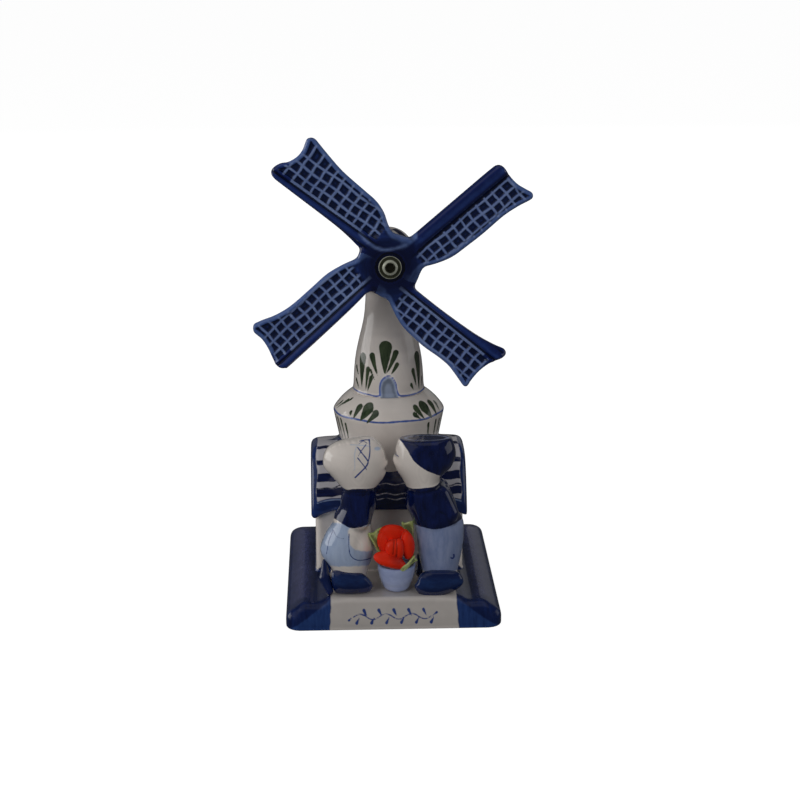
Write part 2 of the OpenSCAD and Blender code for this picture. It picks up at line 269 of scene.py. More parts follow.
def turned(profile, around, segments, parts=5, capped=True):
    """Vertices and faces of a profile of (radius, height) points turned about a vertical axis."""
    line = curve(profile, parts)
    angle = np.arange(segments) * 2 * math.pi / segments
    rings = np.stack([
        around[0] + line[:, 0][:, None] * np.sin(angle), around[1] - line[:, 0][:, None] * np.cos(angle),
        np.repeat(line[:, 1][:, None], segments, 1)], 2)
    verts = rings.reshape(-1, 3)
    a = np.arange(len(line) - 1)[:, None] * segments + np.arange(segments)
    b = np.arange(len(line) - 1)[:, None] * segments + (np.arange(segments) + 1) % segments
    faces = np.stack([a, b, b + segments, a + segments], 2).reshape(-1, 4).tolist()
    if capped:
        for ring, way in ((0, -1), (len(line) - 1, 1)):
            faces.append((np.arange(segments) + ring * segments).tolist()[::way])
    return verts, faces


def turned_ring(profile, around, segments, parts=5):
    """The same for a hollow or a ring: the profile's last point is joined to its first."""
    verts, faces = turned(profile, around, segments, parts, capped=False)
    last = len(verts) - segments
    for a in range(segments):
        b = (a + 1) % segments
        faces.append([last + a, last + b, b, a])
    return verts, faces


# ---------------------------------------------------------------- painting


def stroke(x, z, line, width, end_width=None, smooth=True):
    """Distance to a brush stroke along a line, negative inside. Its width runs from width to end_width."""
    line = curve(line, 6) if smooth and len(line) > 2 else np.array(line, float)
    end_width = width if end_width is None else end_width
    lengths = np.linalg.norm(np.diff(line, axis=0), axis=1)
    run, total = 0.0, lengths.sum()
    best = np.full(np.shape(x), 1e9)
    for a, b, length in zip(line[:-1], line[1:], lengths):
        d = b - a
        t = np.clip(((x - a[0]) * d[0] + (z - a[1]) * d[1]) / max(d @ d, 1e-12), 0, 1)
        half = (width + (end_width - width) * (run + t * length) / total) / 2
        best = np.minimum(best, np.hypot(x - a[0] - t * d[0], z - a[1] - t * d[1]) - half)
        run += length
    return best


def strokes(x, z, table):
    return np.min([stroke(x, z, *row) for row in table], 0)


def zone(x, z, outline):
    return outline_distance(x, z, curve(outline, 5, True))


# ---------------------------------------------------------------- materials


def links(tree):
    def node(kind, **values):
        n = tree.nodes.new(kind)
        for key, value in values.items():
            if hasattr(n, key):
                setattr(n, key, value)
            else:
                n.inputs[key].default_value = value
        return n

    return node, tree.links.new


def glaze(name, base, layers=(), grain=(1, 1, 1), rough=0.12, hollow_shade_edge_highlight=0.5, brush=None, metal=0.0, coat=1.0):
    """A painted and glazed surface.

    Each layer is (attribute, thin colour, thick colour, edge, wobble, streak contrast). The attribute
    holds the distance in mm to the edge of that paint, negative inside it. grain stretches the brush
    marks. pool, by the attribute curved, paints shade into hollows and a highlight onto raised edges.
    """
    m = bpy.data.materials.new(name)
    m.use_nodes = True
    tree = m.node_tree
    node, link = links(tree)
    shader = tree.nodes["Principled BSDF"]
    place = node("ShaderNodeTexCoord")
    if brush:
        at = node("ShaderNodeAttribute", attribute_name=brush)
        source, unit = at.outputs["Vector"], 1.0
    else:
        source, unit = place.outputs["Object"], 1 / MM
    stretched = node("ShaderNodeMapping")
    stretched.inputs["Scale"].default_value = [unit * g for g in grain]
    link(source, stretched.inputs["Vector"])
    even = node("ShaderNodeMapping")
    even.inputs["Scale"].default_value = [1 / MM] * 3
    link(place.outputs["Object"], even.inputs["Vector"])

    def noise(vector, scale, detail=2.0, roughness=0.5):
        n = node("ShaderNodeTexNoise", Scale=scale, Detail=detail, Roughness=roughness)
        link(vector.outputs["Vector"], n.inputs["Vector"])
        return n.outputs["Fac"]

    def scaled(value, low, high, to_low, to_high, smooth=False):
        n = node("ShaderNodeMapRange")
        n.interpolation_type = "SMOOTHSTEP" if smooth else "LINEAR"
        for key, v in (("From Min", low), ("From Max", high), ("To Min", to_low), ("To Max", to_high)):
            n.inputs[key].default_value = v
        link(value, n.inputs["Value"])
        return n.outputs["Result"]

    def maths(kind, a, b):
        n = node("ShaderNodeMath", operation=kind)
        for k, v in enumerate((a, b)):
            if isinstance(v, (int, float)):
                n.inputs[k].default_value = v
            else:
                link(v, n.inputs[k])
        return n.outputs[0]

    def blend(fac, a, b):
        n = node("ShaderNodeMix", data_type="RGBA")
        link(fac, n.inputs["Factor"])
        for key, v in ((6, a), (7, b)):
            if isinstance(v, tuple):
                n.inputs[key].default_value = (*v, 1)
            else:
                link(v, n.inputs[key])
        return n.outputs[2]

    wobble = noise(even, 0.55, 3.0)
    streaks = noise(stretched, 1.0, 4.0, 0.6)
    clouds = noise(even, 0.22, 3.0)
    colour = blend(scaled(clouds, 0.35, 0.65, 0, 1, True), tuple(c * 0.95 for c in base), base)
    for attribute, thin, thick, edge, wander, contrast in layers:
        at = node("ShaderNodeAttribute", attribute_name=attribute)
        shifted = maths("SUBTRACT", maths("MULTIPLY", maths("SUBTRACT", wobble, 0.5), wander),
                        at.outputs["Fac"])
        cover = scaled(shifted, -edge, edge, 0, 1, True)
        both = maths("ADD", maths("MULTIPLY", streaks, 0.7), maths("MULTIPLY", clouds, 0.3))
        density = scaled(both, 0.5 - 0.5 * (1 - contrast) - 0.06, 0.5 + 0.5 * (1 - contrast) + 0.06, 0, 1,
                         True)
        colour = blend(cover, colour, blend(density, thin, thick))
    # painted shade in hollows and a painted highlight on raised edges, from the attribute curved
    if hollow_shade_edge_highlight:
        at = node("ShaderNodeAttribute", attribute_name="curved")
        lift = scaled(at.outputs["Fac"], -0.25, 0.25, 1 - hollow_shade_edge_highlight * 0.6, 1 + hollow_shade_edge_highlight)
        n = node("ShaderNodeVectorMath", operation="SCALE")
        link(colour, n.inputs[0])
        link(lift, n.inputs["Scale"])
        colour = n.outputs[0]
    link(colour, shader.inputs["Base Color"])
    link(scaled(noise(even, 0.5, 2.0), 0.3, 0.7, rough * 0.8, rough * 1.3), shader.inputs["Roughness"])
    shader.inputs["Metallic"].default_value = metal
    shader.inputs["IOR"].default_value = 1.5
    shader.inputs["Specular IOR Level"].default_value = 0.3
    shader.inputs["Coat Weight"].default_value = coat
    shader.inputs["Coat Roughness"].default_value = 0.03
    bump = node("ShaderNodeBump")
    bump.inputs["Strength"].default_value = 0.35
    bump.inputs["Distance"].default_value = 0.12 * MM
    link(noise(even, 0.28, 2.0), bump.inputs["Height"])
    link(bump.outputs["Normal"], shader.inputs["Normal"])
    link(bump.outputs["Normal"], shader.inputs["Coat Normal"])
    return m


WHITE = (0.80, 0.735, 0.68)
COBALT = ((0.012, 0.038, 0.17), (0.003, 0.009, 0.055))
NAVY = ((0.006, 0.015, 0.095), (0.0012, 0.003, 0.022))
LINE = ((0.05, 0.09, 0.30), (0.02, 0.04, 0.17))
WASH = ((0.46, 0.55, 0.72), (0.34, 0.43, 0.62))
GREEN = ((0.07, 0.10, 0.05), (0.012, 0.024, 0.012))


# ---------------------------------------------------------------- making pieces


def curvature(verts, faces):
    """How far each vertex stands out of its neighbours' mean, in mm for each mm of spacing squared."""
    quads = np.array([f for f in faces if len(f) == 4])
    if len(quads) == 0:
        return np.zeros(len(verts))
    tri = verts[quads]
    normal = np.cross(tri[:, 2] - tri[:, 0], tri[:, 3] - tri[:, 1])
    total = np.stack([sum(np.bincount(quads[:, c], normal[:, k],
                                      len(verts)) for c in range(4)) for k in range(3)], 1)
    total /= np.maximum(np.linalg.norm(total, axis=1), 1e-9)[:, None]
    spacing = np.linalg.norm(tri[:, 1] - tri[:, 0], axis=1).mean()
    bent = ((verts - neighbour_mean(verts, quads)) * total).sum(1) / spacing**2 * 2
    for _ in range(3):
        bent = 0.5 * bent + 0.5 * neighbour_mean(np.repeat(bent[:, None], 3, 1), quads)[:, 0]
    return np.clip(bent, -1, 1)


def plain_mesh(name, verts, faces):
    """A smooth-shaded mesh from vertices in mm."""
    mesh = bpy.data.meshes.new(name)
    faces = faces.tolist() if isinstance(faces, np.ndarray) else faces
    mesh.from_pydata((verts * MM).tolist(), [], faces)
    mesh.shade_smooth()
    return mesh


def make(name, verts, faces, material, stands_for, body="mill", paint=None):
    """A piece from vertices in mm that replaces a CAD node. paint gives its attributes from the vertices."""
    return dress(name, plain_mesh(name, verts, faces), material, stands_for, body, paint)


def dress(name, mesh, material, stands_for, body="mill", paint=None):
    """Turns a mesh into a painted piece that replaces CAD nodes and rides on a body."""
    obj = bpy.data.objects.new(name, mesh)
    bpy.context.scene.collection.objects.link(obj)
    mesh.materials.append(material)
    verts = np.zeros(len(mesh.vertices) * 3)
    mesh.vertices.foreach_get("co", verts)
    verts = verts.reshape(-1, 3) / MM
    values = {"curved": curvature(verts, [tuple(p.vertices) for p in mesh.polygons])}
    values.update(paint(verts) if paint else {})
    for key, value in values.items():
        if value.ndim == 2:
            at = mesh.attributes.new(key, "FLOAT_VECTOR", "POINT")
            at.data.foreach_set("vector", value.astype(np.float32).ravel())
        else:
            at = mesh.attributes.new(key, "FLOAT", "POINT")
            at.data.foreach_set("value", value.astype(np.float32))
    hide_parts(*stands_for)
    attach(obj, body)
    return obj


def sliced(mesh, planes):
    """A copy of a mesh in metres, cut off and closed at each plane, a (point in mm, outward normal)."""
    bm = bmesh.new()
    bm.from_mesh(mesh)
    for point, normal in planes:
        found = bmesh.ops.bisect_plane(
            bm, geom=bm.verts[:] + bm.edges[:] + bm.faces[:], dist=1e-7, plane_co=Vector(point) * MM,
            plane_no=normal, clear_outer=True)
        rim = [e for e in found["geom_cut"] if isinstance(e, bmesh.types.BMEdge)]
        bmesh.ops.edgenet_fill(bm, edges=rim)
        for e in rim:
            e.smooth = False
    out = bpy.data.meshes.new(mesh.name)
    bm.to_mesh(out)
    bm.free()
    return out


# ---------------------------------------------------------------- plinth

PANEL_HALF = 18.6  # half width of the white panel in front
CORNER_R = 4.6  # rounding of the plinth's corners, seen from above
VENT_R = 3  # radius of the kiln vent


def build_plinth():
    clay = Clay(foot_low - 1, foot_high + 1, 0.4)
    half, middle = (foot_high - foot_low) / 2, (foot_low + foot_high) / 2
    rim, run = 4.7, 12.0  # height of the upright edge, and how far in the slope above it runs
    back_rim, back_run = 3.2, 3.8
    x, y, z = np.abs(clay.x), clay.y - middle[1], clay.z
    qx, qy = x - half[0] + CORNER_R, np.abs(y) - half[1] + CORNER_R
    sides = np.hypot(np.maximum(qx, 0), np.maximum(qy, 0)) + np.minimum(np.maximum(qx, qy), 0)
    sides = sides - CORNER_R

    def slope(out, rim, run):
        rise = PLINTH_TOP - rim
        return ((z - rim) * run + out * rise) / math.hypot(rise, run)

    roll = 0.5 * np.exp(-(((x - 22.3) / 2.0) ** 2)) - 0.8 * np.exp(-(((x - 27.2) / 2.5) ** 2))
    f = smooth_max(sides, slope(x - half[0], rim, run) + roll, 2.2)
    f = smooth_max(f, slope(y - half[1], rim, run), 1.6)
    f = smooth_max(f, slope(-y - half[1], back_rim, back_run), 2.4)
    f = smooth_max(f, z - PLINTH_TOP, 1.0)
    f = smooth_max(f, -z, 0.5)
    f = np.maximum(f, VENT_R - np.hypot(clay.x, clay.y - MILL_Y))
    verts, faces = clay.mesh(f)
    verts[:, 2] = np.maximum(verts[:, 2], 0)
    verts[:, 1] = np.clip(verts[:, 1], foot_low[1], foot_high[1])

    vine = [(-12 + i, 3.9 + 0.75 * math.sin(i * 0.82)) for i in range(24)]
    table = [(vine, 0.32, 0.32)]
    for i in range(11):
        at = -11.2 + i * 2.2
        way = 1 if i % 2 else -1
        table.append(([(at + 0.9, 3.9 + 0.25 * way), (at + 0.1, 3.9 + 1.75 * way)], 0.25, 0.95, False))
    table.append(([(-12.6, 3.7), (-13.4, 3.0)], 0.3, 0.7, False))
    table.append(([(11.6, 4.2), (12.6, 4.9)], 0.3, 0.7, False))

    def paint(p):
        x, y, z = p.T
        edge = PANEL_HALF + 0.06 * (PLINTH_TOP - z)
        panel = edge - np.abs(x) + 0.08 * np.sin(z * 1.7 + x)
        lower = np.where((y > walls_low[1]) & (y < walls_high[1]), walls_high[0] - 1 - np.abs(x), panel)
        face = z - (PLINTH_TOP - 0.2 - 0.66 * (np.abs(x) - PANEL_HALF))
        face = np.maximum(face, y - foot_low[1] - 7)
        motif = np.where(y < middle[1], strokes(x, z, table), 9)
        # a lighter violet band on the outer wings: partly paint, partly a painted highlight where the glaze
        # reflects the lights
        wing_paint_and_sheen = np.maximum(np.abs(np.abs(x) - 27.6) - 2.3 + 0.4 * np.sin(y * 0.21), foot_low[1] + 9 - y)
        return {"cobalt": lower, "front": np.maximum(face, lower), "wing_paint_and_sheen": wing_paint_and_sheen, "line": motif}

    # The plinth's white is darker than WHITE elsewhere: painted shade on its white front panel.
    make("plinth_glazed", verts, faces, glaze(
        "plinth_glaze", (0.55, 0.51, 0.48),
        [("cobalt", (0.008, 0.022, 0.11), (0.002, 0.006, 0.04), 0.2, 0.25, 0.55),
         # haze: a lighter band on the wings, partly paint and partly a painted highlight
         ("wing_paint_and_sheen", (0.065, 0.072, 0.19), (0.020, 0.028, 0.10), 2.2, 2.0, 0.35),
         ("front", (0.024, 0.065, 0.23), (0.007, 0.022, 0.10), 0.35, 0.6, 0.4),
         ("line", *LINE, 0.12, 0.25, 0.3)], grain=(1.1, 0.3, 0.16), rough=0.2, coat=0.5),
        ["plinth"], paint=paint)


# ---------------------------------------------------------------- house

ROOF_HALF = (roof_high[1] - roof_low[1]) / 2
ROOF_RIDGE = roof_high[2]
EAVE = 29.4


def roof_height(d):
    return ROOF_RIDGE - (ROOF_RIDGE - EAVE) * np.minimum(np.abs(d) / ROOF_HALF, 1.1) ** 3


def waist_radius(z):
    return STAGE_R - 0.2 * (56 - z)


def build_roof():
    clay = Clay((roof_low[0] - 1, roof_low[1] - 1, 24), (roof_high[0] + 1, roof_high[1] + 1, 54), 0.35)
    d = clay.y - MILL_Y
    slope = 3 * (ROOF_RIDGE - EAVE) * (d / ROOF_HALF) ** 2 / ROOF_HALF
    steep = np.sqrt(1 + slope**2)
    droop = 1.5 * np.clip((np.abs(clay.x) - 16) / 7, 0, 1) ** 2
    top = (clay.z - roof_height(d) + droop * 0.35) / steep
    ends = np.maximum(roof_low[0] - clay.x, clay.x - roof_high[0])
    front = np.abs(d) - ROOF_HALF
    low = EAVE - 0.7 - 1.6 * droop - clay.z
    shell = smooth_max(smooth_max(top, ends, 2.4), smooth_max(front, low, 1.0), 1.2)
    shell = np.maximum(shell, -(top + 2.6))
    away = np.hypot(clay.x, d)
    skirt = np.maximum(away - waist_radius(clay.z) + 0.35, clay.z - 51)
    skirt = np.maximum(skirt, 42 - clay.z)
    f = smooth_min(shell, skirt, 3.6)
    f = np.maximum(f, waist_radius(clay.z) - 1.8 - away)
    verts, faces = clay.mesh(f)

    def paint(p):
        x, y, z = p.T
        d = np.abs(y - MILL_Y)
        seen = z + VIEW_SLOPE * (15 - d)  # height as seen from in front
        wave = 0.22 * np.sin(x * 0.55) + 0.12 * np.sin(x * 1.4 + 1)
        side = np.abs(x + 0.5)
        bands = [(48.1, 0.45), (43.2, 0.75), (38.5, 1.35), (35.3, 0.2), (33.7, 1.25)]
        dark = np.min([np.abs(seen + wave * (1 if half > 0.5 else 2) - at) - half for at, half in bands], 0)
        waved = seen + 0.25 * np.sin(x * 1.1) + 0.1 * wave
        thin = np.min([np.abs(waved - at) for at in (36.0, 32.9, 31.4)], 0)
        middle = np.maximum(side - 9.5, seen - 43.4)
        dark = np.where(side < 9.5, np.maximum(middle, 0.13 - thin), dark)
        curved_line = np.abs(seen - 31.4 + 0.03 * (side - 16) ** 2) - 0.2
        border = np.minimum(21.9 - side + 0.25 * np.sin(seen * 0.6), 49.9 - seen + 0.02 * (side - 18) ** 2)
        border = np.where(side < 9.5, 9, border)
        eave = seen - 31.9 + 0.03 * (side - 16) ** 2
        climb = np.hypot(x, y - MILL_Y) - waist_radius(z) - 1.0
        climb = np.maximum(climb, 44.5 - z)
        underside = z - roof_height(d) + 1.9
        cobalt = np.minimum(np.minimum(np.minimum(border, eave), climb), underside)
        return {"dark": np.maximum(dark, -border), "cobalt": cobalt, "pale": np.maximum(curved_line,
            np.maximum(13 - side, side - 22))}

    make("roof_glazed", verts, faces, glaze(
        "roof_glaze", (0.60, 0.58, 0.62),
        [("cobalt", *COBALT, 0.2, 0.4, 0.5), ("dark", *NAVY, 0.14, 0.35, 0.5), ("pale", (0.26, 0.34, 0.52),
            (0.16, 0.22, 0.4), 0.15, 0.3, 0.3)],
        grain=(0.12, 0.9, 0.9)), ["house_roof"], paint=paint)


def build_walls():
    clay = Clay((walls_low[0] - 3, walls_low[1] - 3, PLINTH_TOP - 1.2),
                (walls_high[0] + 3, walls_high[1] + 3, 44), 0.4)
    f = clay.slab((walls_low[0], walls_low[1], 0), (walls_high[0], walls_high[1], 60), 1.6)
    flare = smooth_min(f, clay.z - PLINTH_TOP + 0.25, 1.6)
    f = np.maximum(flare, np.maximum(f - 1.8, PLINTH_TOP - 0.3 - clay.z))
    d = clay.y - MILL_Y
    under = clay.z - roof_height(d) + 1.2
    f = smooth_max(f, under / 1.5, 0.4)
    away = np.hypot(clay.x, d)
    hollow = np.maximum(clay.slab(walls_low + 3, (walls_high[0] - 3, walls_high[1] - 3, 30), 1), PLINTH_TOP
                        + 1 - clay.z)
    f = np.maximum(f, -hollow)
    f = np.maximum(f, waist_radius(clay.z) - 0.8 - away)
    verts, faces = clay.mesh(f)

    def paint(p):
        x, y, z = p.T
        drip = 29.3 + 1.2 * np.sin(x * 1.1) * np.cos(y * 0.6) - 1.8 * np.exp(-((np.abs(x) - 21.6) ** 2) / 1.5)
        inward = np.minimum(x - walls_low[0], walls_high[0] - x)
        foot = z - (PLINTH_TOP + 0.3 + np.where(y < walls_low[1] + 1, 0.75 * np.clip(inward, 0, 4), 0.2))
        foot = np.where((y < walls_low[1] + 1) & (inward > 4.5), 9, foot)
        return {"cobalt": np.minimum(drip - z, foot)}

    make("walls_glazed", verts, faces, glaze(
        "wall_glaze", WHITE, [("cobalt", *COBALT, 0.25, 0.8, 0.5)], grain=(0.5, 0.5, 0.2)),
        ["house_walls"], paint=paint)


# ---------------------------------------------------------------- mill

# Brush leaves, each as the degrees round the mill and the height of its broad end, the same for its
# point, and its width.
TOWER_LEAVES = [
    (-7, 79.3, -8, 69.4, 4.0), (14, 76.5, -5, 69.6, 1.7), (15, 72.7, 2, 69.1, 1.2),
    (-34, 75.5, -20, 68.8, 1.9), (-54, 75.0, -51, 64.4, 3.0), (-38, 71.2, -42, 63.8, 1.4),
    (-31, 68.4, -38, 63.7, 1.2), (-34, 70.6, -25, 67.4, 0.7), (-72, 70.6, -60, 67.5, 1.1),
    (-70, 66.6, -58, 63.8, 1.1), (60, 75.0, 57, 63.2, 3.1), (43, 70.4, 50, 64.5, 1.4),
    (37, 66.0, 43, 63.6, 1.0), (72, 67.0, 65, 63.7, 1.0)]
SHOULDER_LEAVES = [
    (-25, 60.8, -32, 56.0, 3.4), (-14, 59.1, -25, 55.5, 1.9), (-39, 60.2, -41, 56.2, 2.0),
    (-49, 58.2, -46, 56.8, 1.1), (43, 60.5, 48, 55.8, 3.6), (31, 60.0, 38, 55.9, 1.9),
    (26, 58.2, 33, 56.3, 1.4), (60, 60.2, 57, 56.0, 2.2), (71, 59.4, 66, 56.3, 1.3),
    (-66, 60.4, -78, 57.0, 0.9), (-76, 59.4, -85, 56.6, 0.9), (-60, 61.0, -70, 58.6, 0.7)]
STALKS = [(-78, 55.4, -74, 46), (-70, 55.0, -66, 45.5), (-62, 55.2, -59, 47), (-54, 54.2, -53, 47.5),
          (44, 54.6, 47, 49), (57, 54.8, 59, 46.5), (66, 54.4, 67, 46), (76, 55.2, 78, 45.5)]
DOOR = [(-15.5, 62.8), (-16, 65.2), (-13, 67.4), (-3, 68.8), (5, 68.2), (10, 66.4), (12, 64.2), (14.5, 62.9)]


def round_mill(p):
    """Degrees from the front, height and radius of points on the mill. The back repeats the front."""
    x, y, z = p.T
    turn = np.degrees(np.arctan2(x, -(y - MILL_Y)))
    turn = np.where(np.abs(turn) > 92, np.sign(turn) * 180 - turn, turn)
    return turn, z, np.hypot(x, y - MILL_Y)


def around_mill(points):
    """Points of (degrees from the front, height) as lengths round the foot of the tower and heights."""
    return [(math.radians(a) * TOWER_R, h) for a, h in points]


def doorway(arc, z):
    """Distance to the arched door at the foot of the tower, negative inside it."""
    return outline_distance(arc, z, np.array(around_mill(DOOR) + [(2.8, 60), (-3, 60)]))


def leaves(p, table):
    """Distance to the nearest leaf: a brush mark that is round at its broad end and runs to a point."""
    turn, z, radius = round_mill(p)
    best = np.full(len(p), 9.0)
    for a, za, b, zb, width in table:
        reach = math.hypot(math.radians(b - a) * 12, zb - za)
        start = min(0.5 * width / reach, 0.4)
        a, za = a + (b - a) * start, za + (zb - za) * start
        dx, dz = np.radians(b - a) * radius, zb - za
        across = np.radians(turn - a) * radius
        t = np.clip((across * dx + (z - za) * dz) / (dx**2 + dz**2), 0, 1)
        half = width / 2 * (1 - t) ** 0.8 + 0.06
        best = np.minimum(best, np.hypot(across - t * dx, z - za - t * dz) - half)
    return best


def build_tower():
    profile = [(0.5, TOWER_FOOT + 0.05), (8, TOWER_FOOT + 0.05), (11.0, TOWER_FOOT + 0.1),
               (TOWER_R - 0.1, TOWER_FOOT + 0.3), (10.95, 63), (10.8, 64), (10.6, 67.5), (10.3, 71),
               (9.85, 74), (9.3, 76.6), (8.7, 79.2), (8.1, 81.6), (7.55, 84.2), (7.2, 86.7), (6.95, 90),
               (6.75, 94), (6.7, TOWER_TOP - 0.2), (0.5, TOWER_TOP - 0.1)]
    verts, faces = turned(profile, (0, MILL_Y), 200)
    x, y, z = verts.T
    turn = np.degrees(np.arctan2(x, -(y - MILL_Y)))
    niche = smooth_step(-doorway(np.radians(turn) * TOWER_R, z) / 1.2) * 0.25
    verts[:, 0] -= np.sin(np.radians(turn)) * niche
    verts[:, 1] += np.cos(np.radians(turn)) * niche

    def tower_paint(p):
        turn, z, _ = round_mill(p)
        arc = np.radians(turn) * TOWER_R
        left = around_mill([(-92, 62.9), (-60, 62.8), (-36, 62.7), (-22, 62.5), (-15.5, 62.8)])
        right = around_mill([(14.5, 62.9), (20, 62.5), (40, 62.45), (70, 62.6), (92, 62.9)])
        line = strokes(arc, z, [(around_mill(DOOR), 0.62, 0.5), (left, 0.4, 0.5), (right, 0.55, 0.4)])
        return {"line": line, "wash": doorway(arc, z) + 0.1, "green": leaves(p, TOWER_LEAVES)}

    make("tower_glazed", verts, faces, glaze(
        "tower_glaze", WHITE,
        [("wash", (0.36, 0.42, 0.55), (0.30, 0.36, 0.50), 0.2, 0.3, 0.3), ("line", (0.13, 0.20, 0.50),
            (0.07, 0.11, 0.34), 0.14, 0.3, 0.4), ("green", *GREEN, 0.12, 0.25, 0.45)],
        grain=(0.9, 0.9, 0.25)), ["mill_tower"], paint=tower_paint)


def build_waist():
    shell = [(10.4, 33), (12.6, 32.6), (waist_radius(34), 34), (waist_radius(40), 40),
             (waist_radius(46), 46), (waist_radius(51), 51), (waist_radius(54.2), 54.2),
             (STAGE_R - 0.1, 55.5), (STAGE_R - 0.1, 56.1), (16.6, 56.8), (15.7, 58), (14.7, 59.15),
             (13.5, 60.3), (12.4, 61.2), (11.6, 61.75), (11.0, TOWER_FOOT - 0.02), (8, TOWER_FOOT - 0.02),
             (7.2, 60), (10.4, 56), (13.0, 53.5), (11.2, 42)]
    verts, faces = turned_ring(shell, (0, MILL_Y), 240)

    def waist_paint(p):
        turn, z, _ = round_mill(p)
        return {"line": np.abs(z - 56.15 - 0.12 * np.sin(turn * 0.13)) - 0.28,
                "green": leaves(p, SHOULDER_LEAVES + [(*row, 0.95) for row in STALKS])}

    make("waist_glazed", verts, faces, glaze(
        "waist_glaze", WHITE,
        [("line", (0.10, 0.16, 0.44), (0.04, 0.08, 0.28), 0.14, 0.3, 0.4),
         ("green", *GREEN, 0.12, 0.3, 0.45)],
        grain=(0.9, 0.9, 0.25)), ["mill_waist"], paint=waist_paint)


def build_cap():
    boss_face, boss_r = 3.85, 4.0  # how far behind the sails' middle the boss ends
    bore_r, bore_depth = 2.2, 11.9
    clay = Clay((-9, cap_low[1] - 1, cap_low[2] - 1), (9, MILL_Y + 9, cap_high[2] + 1), 0.3)
    dome = clay.ball((0, MILL_Y, cap_high[2] - 8.05), 8.0)
    dome = np.maximum(dome, cap_low[2] + 0.05 - clay.z)
    neck = np.maximum(cap_low[2] + 0.05 - clay.z, clay.z - 101)
    neck = np.maximum(np.hypot(clay.x, clay.y - MILL_Y) - 6.9, neck)
    off = [clay.x - HUB[0], clay.y - HUB[1], clay.z - HUB[2]]
    along = sum(o * s for o, s in zip(off, SHAFT))
    from_axis = np.sqrt(np.maximum(off[0] ** 2 + off[1] ** 2 + off[2] ** 2 - along**2, 0))
    boss = np.maximum(from_axis - boss_r, np.maximum(along + boss_face, -along - 13))
    f = smooth_min(smooth_min(dome, neck, 1.2), boss, 1.2)
    f = np.maximum(f, np.where(from_axis < 6, np.maximum(along + boss_face, -8), -9))
    f = np.maximum(f, np.minimum(bore_r - from_axis, along + bore_depth))
    verts, faces = clay.mesh(f)

    def cap_paint(p):
        turn = np.degrees(np.arctan2(p[:, 0], -(p[:, 1] - MILL_Y)))
        away = np.hypot(p[:, 0], p[:, 1] - MILL_Y)
        petal = np.abs((turn - 28) % 60 - 30) * np.radians(1) * np.maximum(away, 0.5) - 1.15
        return {"cobalt": np.maximum(petal, np.abs(away - 4.9) - 2.6), "line": np.abs(p[:, 2] - 102.6) - 0.3}

    make("cap_glazed", verts, faces, glaze(
        "cap_glaze", WHITE, [("cobalt", *NAVY, 0.25, 1.0, 0.5), ("line", *LINE, 0.15, 0.3, 0.4)],
        grain=(0.5, 0.5, 0.9)),
        ["mill_cap"], paint=cap_paint)


# ---------------------------------------------------------------- sails

# Each sail: the angle of its spar, how far its outer edge misses the hub, where its first lath is, how
# far across its rail is (negative: it has none), how far out the rail begins, and its outline.
Sail = namedtuple("Sail", "angle miss first_lath rail rail_from outline")
SAILS = [
    Sail(39.6, 2.8, 9.25, -3.1, 6, [
        (-2, 0.3), (12, 0.1), (30, 0), (40.5, 0), (43, 0.4), (44, 2), (43.8, 5.1), (44.0, 8.3), (44.9, 11),
        (45.7, 13.2), (45.3, 14.4), (43.6, 14.4), (40, 13.6), (34.9, 13.0), (27.1, 13.1), (21.5, 12.9),
        (15.9, 12.5), (11.3, 11.1), (7.1, 9.2), (5.0, 9.2), (2, 9)]),
    Sail(143.7, -1.2, 10.1, 2.4, 13, [
        (-2, -2.6), (8, -2.2), (11, -1.85), (20, -0.75), (38, -0.15), (42.4, 0.1), (44.1, 1.1), (44.2, 2.7),
        (43.3, 4.7), (41.8, 6.3), (40.9, 8), (40.4, 9.8), (40.4, 11.6), (40.9, 13.6), (41.2, 15.2),
        (40.6, 16.4), (39.2, 16.3), (33.9, 14.9), (27.3, 13.4), (19.3, 12.6), (14.4, 12.1), (10.6, 10.7),
        (7.6, 8.6), (4.9, 7.4), (0.5, 7.2)]),
    Sail(222, 1.6, 9.55, 3.3, 6, [
        (-2, 1.4), (6, 0.8), (18, 0.1), (40, 0), (43, 0.5), (44.3, 2.4), (43.7, 5.1), (42.7, 8.2),
        (42.2, 11.2), (42.5, 13.8), (42.7, 15.5), (41.7, 16.4), (38.5, 15.5), (34.1, 13.8), (28.8, 12.8),
        (20.9, 12.6), (15, 12.5), (9.8, 11.4), (5.7, 10), (2, 9)]),
    Sail(320.6, 0.5, 9.05, 3.3, 6, [
        (-2, 1.4), (8, 1.0), (20, 0.9), (32, 0.2), (38.5, -1.0), (41.6, -1.8), (43.1, -1.0), (43.0, 0.4),
        (42.3, 2), (41, 4.7), (40.2, 8.2), (40.1, 11.6), (40.3, 13.6), (39.6, 14.4), (38, 14.1),
        (35.3, 13.3), (31.8, 12.5), (27.9, 12.4), (22.3, 12.7), (15.4, 12.2), (11.4, 11.1), (8.1, 9.6),
        (5.3, 8.2), (2.8, 7.7)])]
LATHS_ALONG = (2.6, 5.35, 8.1)  # the laths that run along a sail, measured across from its rail
PITCH = 3.05  # from one cross lath to the next
LATH_HALF = 0.3
RAIL_HALF = 0.48
RIM_W = 1.3
SAIL_BORE_R = 2.22
SAIL_BACK = 2.3  # how far the hub's back lies behind the sails' middle


def sail_frame(a, b, sail):
    """Along and across coordinates of a sail, from hub coordinates a (right) and b (up)."""
    angle = math.radians(sail.angle)
    u = a * math.cos(angle) + b * math.sin(angle)
    v = a * math.sin(angle) - b * math.cos(angle) + sail.miss
    return u, v


def sail_start(sail):
    """Where the latticed panel of a sail begins, across its spar."""
    return sail.rail if sail.rail > 0 else 1.5 - sail.rail


